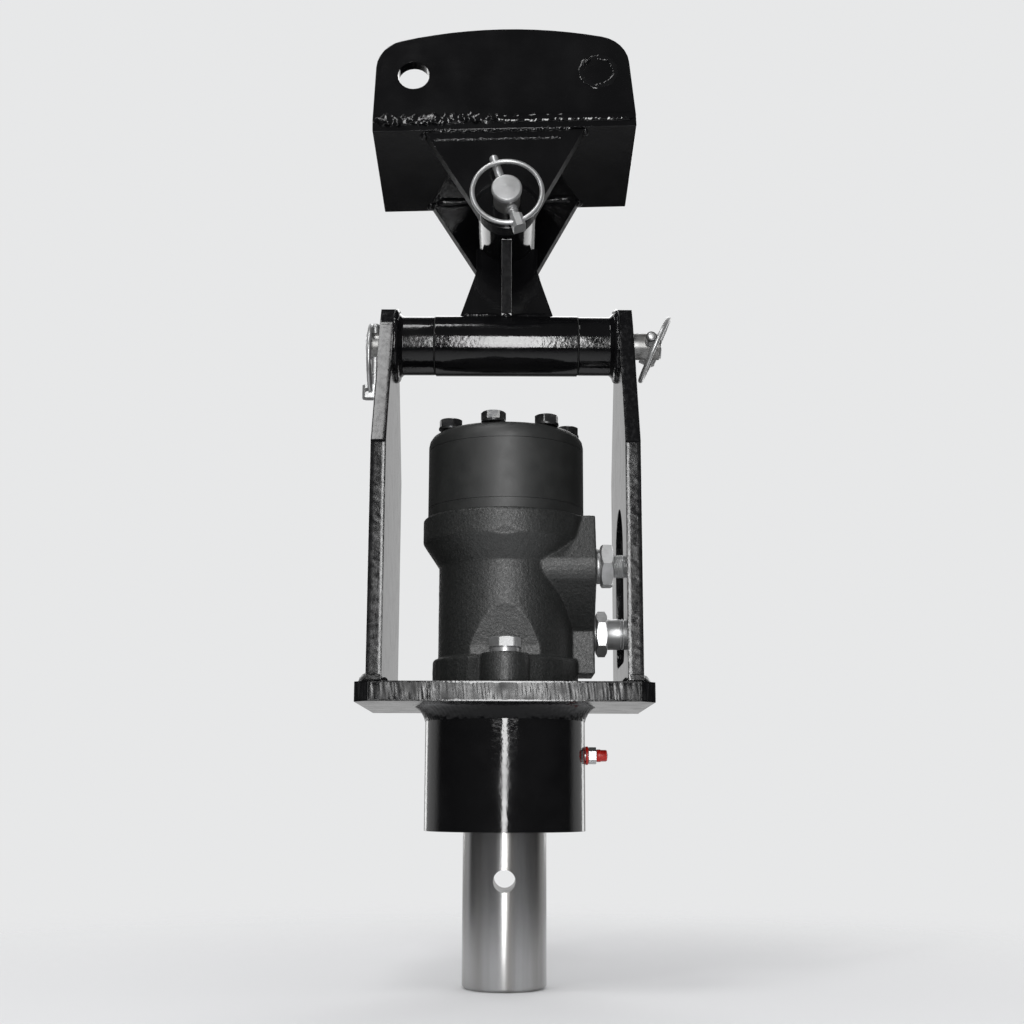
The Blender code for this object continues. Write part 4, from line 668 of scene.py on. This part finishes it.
def pale_floor():
    """Plain pale floor round the shaft that fades into the backdrop, see-through from below."""
    count = 96
    mesh = bpy.data.meshes.new("floor")
    mesh.from_pydata(circle(1.6, -0.0004, count), [], [tuple(range(count))])
    floor = bpy.data.objects.new("floor", mesh)
    bpy.context.scene.collection.objects.link(floor)
    made = bpy.data.materials.new("pale_floor")
    made.use_nodes = True
    tree = made.node_tree
    link = tree.links.new
    shader = tree.nodes["Principled BSDF"]
    shader.inputs["Base Color"].default_value = (0.88, 0.885, 0.89, 1.0)
    shader.inputs["Roughness"].default_value = 0.8
    shader.inputs["Specular IOR Level"].default_value = 0.2
    clear = tree.nodes.new("ShaderNodeBsdfTransparent")
    side = tree.nodes.new("ShaderNodeNewGeometry")
    coords = tree.nodes.new("ShaderNodeTexCoord")
    far = tree.nodes.new("ShaderNodeVectorMath")
    far.operation = "LENGTH"
    link(coords.outputs["Object"], far.inputs[0])
    fade = tree.nodes.new("ShaderNodeMapRange")
    fade.interpolation_type = "SMOOTHSTEP"
    set_range(fade, 0.15, 0.95, 0.0, 1.0)
    link(far.outputs["Value"], fade.inputs["Value"])
    thin = tree.nodes.new("ShaderNodeMath")
    thin.operation = "MAXIMUM"
    link(side.outputs["Backfacing"], thin.inputs[0])
    link(fade.outputs["Result"], thin.inputs[1])
    mix = tree.nodes.new("ShaderNodeMixShader")
    link(thin.outputs[0], mix.inputs[0])
    link(shader.outputs[0], mix.inputs[1])
    link(clear.outputs[0], mix.inputs[2])
    link(mix.outputs[0], tree.nodes["Material Output"].inputs["Surface"])
    mesh.materials.append(made)


def hitch_welds():
    """Beads between the ears, the base plate and the lugs, and round the cross pin's ends."""
    half, deep, thick = 0.1095, 0.06435, 0.010
    plate_foot, plate_top = 0.0678, 0.0772
    lug_face, lug_inner, lug_half = 0.06235, 0.05035, 0.066

    def weld(name, start, end, out, wide, tall, **look):
        bead(name, [start, end], out, wide, tall, "hitch", HITCH_PLACE, **look)

    for label, side in (("front", -1), ("rear", 1)):
        y = side * deep
        weld("weld_ear_outer_" + label, (-half + 0.001, y, plate_top + 0.001),
             (-0.006, y, plate_top + 0.0005), (0, side, 0), 0.0044, 0.0026,
             seed=1 + side, rough=0.60, wave=0.0036, grain=0.8)
        weld("weld_ear_far_" + label, (-0.010, y, plate_top + 0.0005), (half - 0.001, y, plate_top),
             (0, side, 0), 0.0040, 0.0016,
             seed=2 + side, rough=0.30, wave=0.0036, fade=0.6, finish="black_paint")
        inner = side * (deep - thick)
        weld("weld_ear_inner_" + label, (-half + 0.004, inner, plate_top), (half - 0.004, inner, plate_top),
             (0, -side, 1), 0.0052, 0.0042, seed=5 + side)
        face = side * lug_face
        for k, (drop, wide) in enumerate(((0.0, 0.0018), (0.0086, 0.0011))):
            z = plate_foot - drop
            weld("weld_lug_outer_%s_%d" % (label, k), (-lug_half + 0.004 + drop * 0.3, face, z),
                 (lug_half - 0.010 - drop, face, z), (0, side, -0.4), wide, wide * 0.8,
                 seed=9 + side + k, rough=0.5, grain=0.8)
        inner = side * lug_inner
        weld("weld_lug_inner_" + label, (-lug_half + 0.004, inner, plate_foot),
             (lug_half - 0.004, inner, plate_foot), (0, -side, -1), 0.0050, 0.0040, seed=13 + side)
        for end in (-1, 1):
            x = end * (lug_half + 0.0012)
            weld("weld_lug_end_%s_%d" % (label, end + 1), (x, side * (lug_face - 0.001), plate_foot),
                 (x, side * (lug_inner + 0.001), plate_foot), (end, 0, -1), 0.0040, 0.0034,
                 seed=17 + side + end)
        x, z = 0.080, plate_top + 0.0444
        bead("weld_cross_pin_" + label, ring_path(0.0142, (x, y, z), "Y"), (0, side, 0), 0.0022, 0.0004,
             "hitch", HITCH_PLACE, True, rough=0.5, seed=21 + side, wave=0.007)
        blobs = (((-0.0135, 0.0055), (-0.0060, 0.0125), 0.0020),
                 ((-0.0040, -0.0135), (0.0010, -0.0142), 0.0012))
        for k, (first, last, wide) in enumerate(blobs):
            weld("weld_blob_%s_%d" % (label, k), (x + first[0], y, z + first[1]),
                 (x + last[0], y, z + last[1]), (0, side, 0), wide, wide,
                 rough=0.7, seed=25 + side + k, wave=0.004, grain=1.2)
        lathe("cross_pin_face_" + label,
              [(0.0, 0.0004), (0.0108, 0.0004), (0.0124, 0.0001), (0.0124, -0.002), (0.0, -0.002)],
              "black_paint", "hitch", count=48, place=HITCH_PLACE @ Matrix.Translation((x, y, z)) @ AXES["Y"]
              @ Matrix.Scale(side, 4, (0, 0, 1)))


def pin_faces():
    """Turning marks on the ends of the two pins, and a wider head on the front one."""
    pitch = 0.0003
    plain = [(0.0, -0.001), (0.0101, -0.001), (0.0101, 0.0)]
    plain += [(0.0099 - pitch * k, 0.00012 + 0.00005 * (k % 2)) for k in range(31)]
    plain.append((0.0, 0.00012))
    headed = [(0.0, -0.0045), (0.0122, -0.0045), (0.0122, -0.0009), (0.0113, 0.0)]
    headed += [(0.0111 - pitch * k, 0.00012 + 0.000021 * k + 0.00004 * (k % 2)) for k in range(35)]
    headed.append((0.0, 0.00085))
    upper = HITCH_PLACE @ AXES["Y"]
    cross = Matrix.Translation((0, 0, PIN_Z)) @ AXES["X"]
    ends = (("upper_front", "hitch", headed, upper, -UPPER_PIN_HALF),
            ("upper_rear", "hitch", plain, upper, UPPER_PIN_HALF),
            ("lower_left", "yoke", plain, cross, -0.116),
            ("lower_right", "yoke", plain, cross, 0.128))
    for label, body, profile, place, at in ends:
        flip = Matrix.Rotation(pi if at < 0 else 0.0, 4, "X")
        lathe("pin_face_" + label, profile, "zinc_plate", body,
              place=place @ Matrix.Translation((0, 0, at)) @ flip)


def yoke_welds():
    """Beads at the legs' feet, round the bushes and under the plate round the hub."""
    foot = PLATE_TOP
    for label, side in (("left", -1), ("right", 1)):
        outer = side * LEG_OUTER
        inner = side * LEG_INNER
        bead("weld_leg_outer_" + label, [(outer, -0.078, foot), (outer, 0.078, foot)],
             (side, 0, 1), 0.0072, 0.0052, "yoke", seed=31 + side)
        bead("weld_leg_inner_" + label, [(inner, -0.079, foot), (inner, 0.079, foot)],
             (-side, 0, 1), 0.0048, 0.0036, "yoke", seed=35 + side)
        bead("weld_bush_" + label, ring_path(0.0286, (inner - side * 0.0012, 0, PIN_Z), "X"), (-side, 0, 0),
             0.0026, 0.0018, "yoke", closed=True, centre=(inner, 0, PIN_Z), seed=39 + side)
    buried, foot_radius, reach, drop = 0.0622, 0.0631, 0.0083, 0.0114
    rim = foot_radius + reach

    def lumps(angle, radius, height):
        if radius < foot_radius - 0.0002 or height > PLATE_FOOT:
            return 0.0
        spot = Vector((cos(angle), sin(angle), height * 60)) * 14
        return 0.00035 * noise.noise(spot) + 0.00012 * sin(angle * 95 + (height - PLATE_FOOT) * 500)

    steps = 12
    hollow = 0.6
    fillet = [(buried, PLATE_FOOT - drop)]
    for k in range(steps + 1):
        turn = pi / 2 * k / steps
        level = (1 - hollow) * (1 - k / steps)
        fillet.append((rim - reach * (hollow * cos(turn) + level),
                       PLATE_FOOT - drop * (hollow * (1 - sin(turn)) + level)))
    fillet += [(rim, PLATE_FOOT + GAP), (buried, PLATE_FOOT + GAP)]
    lathe("weld_hub", fillet, "fillet", "yoke", count=360, wave=lumps)


def cradle_welds():
    """Beads where the web and its rib meet the lower tube, and the dark rings between tube and bushes."""
    low = -PIN_SPACING
    tube, web = 0.025, 0.006
    z = low + sqrt(tube ** 2 - web ** 2)
    for label, side in (("front", -1), ("rear", 1)):
        y = side * web
        for end in (-1, 1):
            bead("weld_web_foot_%s_%d" % (label, end + 1), [(end * 0.005, y, z), (end * 0.036, y, z)],
                 (0, side, 0.7), 0.0036, 0.0028, "cradle", CRADLE_PLACE, seed=51 + side + 3 * end)
        y = side * 0.0162
        bead("weld_rib_foot_" + label, [(-0.004, y, low + 0.0198), (0.004, y, low + 0.0198)],
             (0, side, 0.8), 0.0030, 0.0024, "cradle", CRADLE_PLACE, seed=57 + side)
    half = 0.00025
    for label, side in (("left", -1), ("right", 1)):
        lathe("thrust_ring_" + label, [(0.0160, -half), (0.0240, -half), (0.0240, half), (0.0160, half)],
              "seal_rubber", "cradle", "X", (side * 0.0591, 0, PIN_Z))


def flame_cut_edges():
    """Torch-cut faces round the yoke plate and down the edges of the legs."""
    wide, deep, cut = 0.1125, 0.082, 0.011
    rise = (0, 0, PLATE_TOP - PLATE_FOOT)
    z = PLATE_FOOT
    corners = [(-wide, deep), (-wide, -deep + cut), (-wide + cut, -deep), (wide - cut, -deep),
               (wide, -deep + cut), (wide, deep), (-wide, deep)]
    for k, (a, b) in enumerate(zip(corners, corners[1:])):
        out = Vector((b[1] - a[1], a[0] - b[0], 0)).normalized()
        middle = Vector(((a[0] + b[0]) / 2, (a[1] + b[1]) / 2, 0))
        if out.dot(middle) < 0:
            out = -out
        cut_edge("cut_plate_%d" % k, (*a, z), (*b, z), rise, out, 0.00016, k, 0.12, "cut_plate")
    top = PIN_Z + 0.0275
    line = [(0.080, PLATE_TOP + 0.004), (0.080, PLATE_TOP + 0.183), (0.025, top - 0.016), (0.014, top)]
    for label, x in (("left", -LEG_OUTER), ("right", LEG_INNER)):
        for face in (-1, 1):
            for k, (a, b) in enumerate(zip(line, line[1:])):
                first = (x, face * a[0], a[1])
                second = (x, face * b[0], b[1])
                along = Vector(second) - Vector(first)
                out = Vector((0, -along.z, along.y)).normalized()
                if out.y * face < 0:
                    out = -out
                cut_edge("cut_leg_%s_%d_%d" % (label, face + 1, k), first, second,
                         (LEG_OUTER - LEG_INNER, 0, 0), out, 0.00010, 11 + k + face, 0.5, "cut")


def linch_place(centre, outward, tip, slide=0.0):
    """Place of a linch pin: its own +Z runs to the tip and its -Y points out along the held pin."""
    out = Vector(outward).normalized()
    up = Vector(tip).normalized()
    side = (-out).cross(up)
    turn = Matrix((side, -out, up)).transposed().to_4x4()
    return Matrix.Translation(centre) @ turn @ Matrix.Translation((0, 0, slide))


def linch_pins():
    """Round rings that stand for the plain ones on the same hinges, the pins' tips and collars, and a black
    ring of painted shade at the right tip.
    """
    tilt = radians(16.3)
    roll = radians(25)
    up = (-sin(tilt), 0, cos(tilt))
    places = {"front": HITCH_PLACE @ linch_place((0, -0.07335, 0), (0, -1, 0), up),
              "rear": HITCH_PLACE @ linch_place((0, 0.07335, 0), (0, 1, 0), up),
              "left": linch_place((-0.109, 0, PIN_Z), (-1, 0, 0), (0, 0, 1), -0.011),
              "right": linch_place((0.118, 0, PIN_Z), (cos(roll), 0, -sin(roll)), (0, -1, 0))}
    radius = 0.028
    wire = 0.002
    eye = -0.029
    for label, place in places.items():
        out = 0.0028 if label == "left" else 0.0058
        rings = [[Vector(middle) * (radius + grown) + Vector((0, 0, lift))
                  for grown, lift, _ in circle(wire, count=12)] for middle in circle(1.0, count=128)]
        verts, faces = rings_to_mesh(rings, True)
        ring = make("ring_wire_" + label, verts, faces, "zinc_plate", "ring_" + label,
                    place @ Matrix.Translation((0, -out, eye + radius)) @ AXES["Y"])
        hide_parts("linch_ring_" + label)
        body = "hitch" if label in ("front", "rear") else "yoke"
        tip = 0.0370 if body == "hitch" else 0.0298
        lathe("linch_tip_" + label,
              [(0.0, 0.0270), (0.0036, 0.0270), (0.0036, tip - 0.0018), (0.0033, tip - 0.0008),
               (0.0026, tip - 0.0002), (0.0018, tip), (0.0, tip)], "zinc_plate", body, place=place, count=48)
        if label == "right":
            # Black ring round the right tip: painted shade standing for the shadow in a groove before the tip
            # end
            lathe("linch_tip_shade_ring_" + label,
                  [(0.0030, 0.0262), (0.0041, 0.0262), (0.0043, 0.0266), (0.0043, 0.0278), (0.0041, 0.0282),
                   (0.0030, 0.0282)], "seal_rubber", body, place=place, count=48)
        for k, low in enumerate((-0.0140, -0.0168)):
            lathe("linch_collar_%s_%d" % (label, k),
                  [(0.0030, low), (0.0041, low), (0.0044, low + 0.0003), (0.0044, low + 0.0011),
                   (0.0041, low + 0.0014), (0.0030, low + 0.0014)], "zinc_plate", body, place=place, count=48)


def motor_fasteners():
    """Bolt heads with turned corners, with their washers and shanks."""
    foot = PLATE_FOOT
    base = PLATE_TOP + 0.022 + 2 * GAP
    steps = 60
    for label, y in (("front", -FLANGE_BOLT_Y), ("rear", FLANGE_BOLT_Y)):
        head = hexagon_solid("flange_bolt_head_" + label, 0.022, base + 0.0046, base + 0.0120, "zinc_plate",
                             "Z", (0, y, 0), radians(8), both=False)
        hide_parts("motor_flange_bolt_" + label)
        lathe("flange_bolt_washer_face_" + label,
              [(0.0, base + 0.0040), (0.0102, base + 0.0040), (0.0102, base + 0.0047), (0.0, base + 0.0047)],
              "zinc_plate", "yoke", centre=(0, y, 0))
        lathe("flange_bolt_shank_" + label,
              [(0.0, foot + 0.002), (0.0062, foot + 0.002), (0.007, foot + 0.003), (0.007, base + 0.0042),
               (0.0, base + 0.0042)], "zinc_plate", "yoke", centre=(0, y, 0))
        rings = []
        for i in range(steps + 1):
            angle = radians(40) + radians(352) * i / steps
            low = base + 0.0004 * i / steps
            high = low + 0.0035
            rings.append([(r * cos(angle), y + r * sin(angle), z)
                          for r, z in ((0.0072, low), (0.0108, low), (0.0112, low + 0.0004),
                                       (0.0112, high - 0.0004), (0.0108, high), (0.0072, high))])
        verts, faces = rings_to_mesh(rings, False)
        make("split_washer_" + label, verts, faces, "zinc_plate", "yoke")
    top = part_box("motor_end_cover")[1].z + GAP
    circle_radius = 0.050
    for k in range(7):
        angle = radians(-11.3) + k * 2 * pi / 7
        spot = (circle_radius * sin(angle), -circle_radius * cos(angle), 0.0)
        head = hexagon_solid("cover_bolt_head_%d" % (k + 1), 0.017, top + 0.0019, top + 0.0085,
                             "black_oxide", "Z", spot, radians(17 * k), both=False)
        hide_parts("cover_bolt_%d" % (k + 1))
        lathe("cover_bolt_washer_%d" % (k + 1),
              [(0.0, top), (0.0095, top), (0.00975, top + 0.0003), (0.00975, top + 0.0017),
               (0.0095, top + 0.002), (0.0, top + 0.002)], "black_oxide", "yoke", centre=spot)


def port_fittings():
    """Hose adapters with turned corners, a threaded neck and seals, and the grease nipple's cap."""
    face = 0.071 + GAP
    bore = 0.0055
    upper = (0.0, -0.022, PLATE_TOP + 0.095)
    lower = (0.0, 0.014, PLATE_TOP + 0.045)

    def fit(name, profile, spot, finish="zinc_plate", body="yoke"):
        return lathe(name, profile, finish, body, "X", spot)

    def shank_and_seal(label, spot, nut, thick, grown, lift):
        fit("adapter_shank_" + label,
            [(bore, 0.0562), (0.010, 0.0562), (0.010, nut + 0.001), (bore, nut + 0.001)], spot)
        fit("bonded_seal_" + label,
            [(0.0101, face), (0.0136, face), (0.0136 + grown, face + lift),
             (0.0136 + grown, face + thick - lift), (0.0136, face + thick), (0.0101, face + thick)], spot)

    nut = face + 0.0035 + GAP
    head = hexagon_solid("adapter_hex_upper", 0.032, nut, nut + 0.0096, "zinc_plate", "X", upper,
                         pi / 6, bore)
    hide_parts("port_adapter_upper")
    threaded("adapter_thread_upper", 0.00925, 0.0009, 0.0015, nut + 0.0095, nut + 0.0246, "zinc_plate", "X",
             upper, bore)
    shank_and_seal("upper", upper, nut, 0.0035, 0.0004, 0.0006)
    nut = face + 0.0014 + GAP
    head = hexagon_solid("adapter_hex_lower", 0.032, nut, nut + 0.0089, "zinc_plate", "X", lower,
                         radians(5), bore)
    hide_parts("port_adapter_lower")
    fit("adapter_sleeve_lower",
        [(bore, nut + 0.0088), (0.0122, nut + 0.0088), (0.0125, nut + 0.0094), (0.0125, nut + 0.0195),
         (0.0120, nut + 0.0199), (0.0120, nut + 0.0207), (0.0125, nut + 0.0212), (0.0125, nut + 0.0218),
         (0.0120, nut + 0.0223), (0.0100, nut + 0.0223), (0.0098, nut + 0.0180), (bore, nut + 0.0175)], lower)
    shank_and_seal("lower", lower, nut, 0.0014, 0.0002, 0.0003)
    nipple = (0.0, 0.0, 0.175)
    wall = 0.063 + GAP
    fit("nipple_cap_ring",
        [(0.0050, wall), (0.0068, wall), (0.0072, wall + 0.0005), (0.0072, wall + 0.0017),
         (0.0068, wall + 0.0022), (0.0050, wall + 0.0022)], nipple, "red_plastic")
    foot = wall + 0.0022 + GAP + 0.006 + GAP
    cap = fit("nipple_cap_body",
              [(0.0034, foot), (0.0047, foot), (0.0049, foot + 0.0004), (0.0049, foot + 0.0030),
               (0.0045, foot + 0.0034), (0.0045, foot + 0.0072), (0.0041, foot + 0.0080),
               (0.0034, foot + 0.0083), (0.0020, foot + 0.0083), (0.0018, foot + 0.0077),
               (0.0006, foot + 0.0077), (0.0006, foot + 0.0072), (0.0034, foot + 0.0072)],
              nipple, "red_plastic", "nipple_cap")
    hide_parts("nipple_cap")


def rounded(points, centre, levels, segments):
    """Points on the flats of a turned surface, moved out to the circle round its corners.

    levels are the (height, radius) pairs of the surface; points that lie elsewhere stay.
    """
    away = points[:, :2] - np.array(centre)
    pitch = 2 * pi / segments
    local = np.mod(np.arctan2(away[:, 1], away[:, 0]), pitch) - pitch / 2
    outward = np.cos(local) / cos(pitch / 2)
    wanted = np.interp(points[:, 2], [z for z, _ in levels], [r for _, r in levels], left=0.0, right=0.0)
    apart = np.abs(np.hypot(away[:, 0], away[:, 1]) * outward - wanted)
    share = np.clip(1.5 - apart / 0.0006, 0.0, 1.0)
    moved = points.copy()
    moved[:, :2] = np.array(centre) + away * (1.0 + share * (outward - 1.0))[:, None]
    return moved


def cast_housing():
    """Motor housing with the soft fillets and grain of a casting, made from the model's own solid."""
    source = nodes["motor_housing"]
    mesh = source.data.copy()
    mesh.materials.clear()
    mesh.materials.append(MATERIALS["motor_casting"])
    obj = bpy.data.objects.new("motor_casting_body", mesh)
    bpy.context.scene.collection.objects.link(obj)
    weld = obj.modifiers.new("weld", "WELD")
    weld.merge_threshold = SAME_POINT
    remesh = obj.modifiers.new("remesh", "REMESH")
    remesh.mode = "VOXEL"
    remesh.voxel_size = 0.0008
    smooth = obj.modifiers.new("smooth", "SMOOTH")
    smooth.factor = 0.5
    smooth.iterations = 3
    bpy.context.view_layer.update()
    graph = bpy.context.evaluated_depsgraph_get()
    shaped = bpy.data.meshes.new_from_object(obj.evaluated_get(graph))
    obj.modifiers.clear()
    obj.data = shaped
    bpy.data.meshes.remove(mesh)
    shaped.shade_smooth()
    points = np.empty(len(shaped.vertices) * 3)
    shaped.vertices.foreach_get("co", points)
    points = points.reshape(-1, 3)
    foot, ledge = PLATE_TOP + GAP, PLATE_TOP + 0.0223
    waist, shoulder, crown = 0.3233, 0.3428, 0.3608
    barrel = ((foot, 0.056), (ledge - 0.0005, 0.056), (ledge + 0.0005, 0.0535), (waist, 0.0535),
              (shoulder, 0.0665), (crown, 0.0665), (crown + 0.0015, 0.065))
    points = rounded(points, (0.0, 0.0), barrel, FINE)
    for y in (-FLANGE_BOLT_Y, FLANGE_BOLT_Y):
        points = rounded(points, (0.0, y), ((foot, 0.018), (ledge, 0.018)), ROUND)
    shaped.vertices.foreach_set("co", points.ravel())
    shaped.update()
    moved = []
    depth = 0.00010
    for vertex in shaped.vertices:
        grain = noise.noise(vertex.co * 420) * depth + noise.noise(vertex.co * 130) * depth
        moved.append(vertex.co + vertex.normal * grain)
    shaped.vertices.foreach_set("co", np.array(moved, np.float32).ravel())
    shaped.update()
    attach(obj, "yoke")
    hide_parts("motor_housing")


camera_and_light()
studio_world()
pale_floor()
dress_nodes()
turned_nodes()
dull_edges()
hitch_welds()
pin_faces()
yoke_welds()
cradle_welds()
flame_cut_edges()
linch_pins()
motor_fasteners()
port_fittings()
cast_housing()
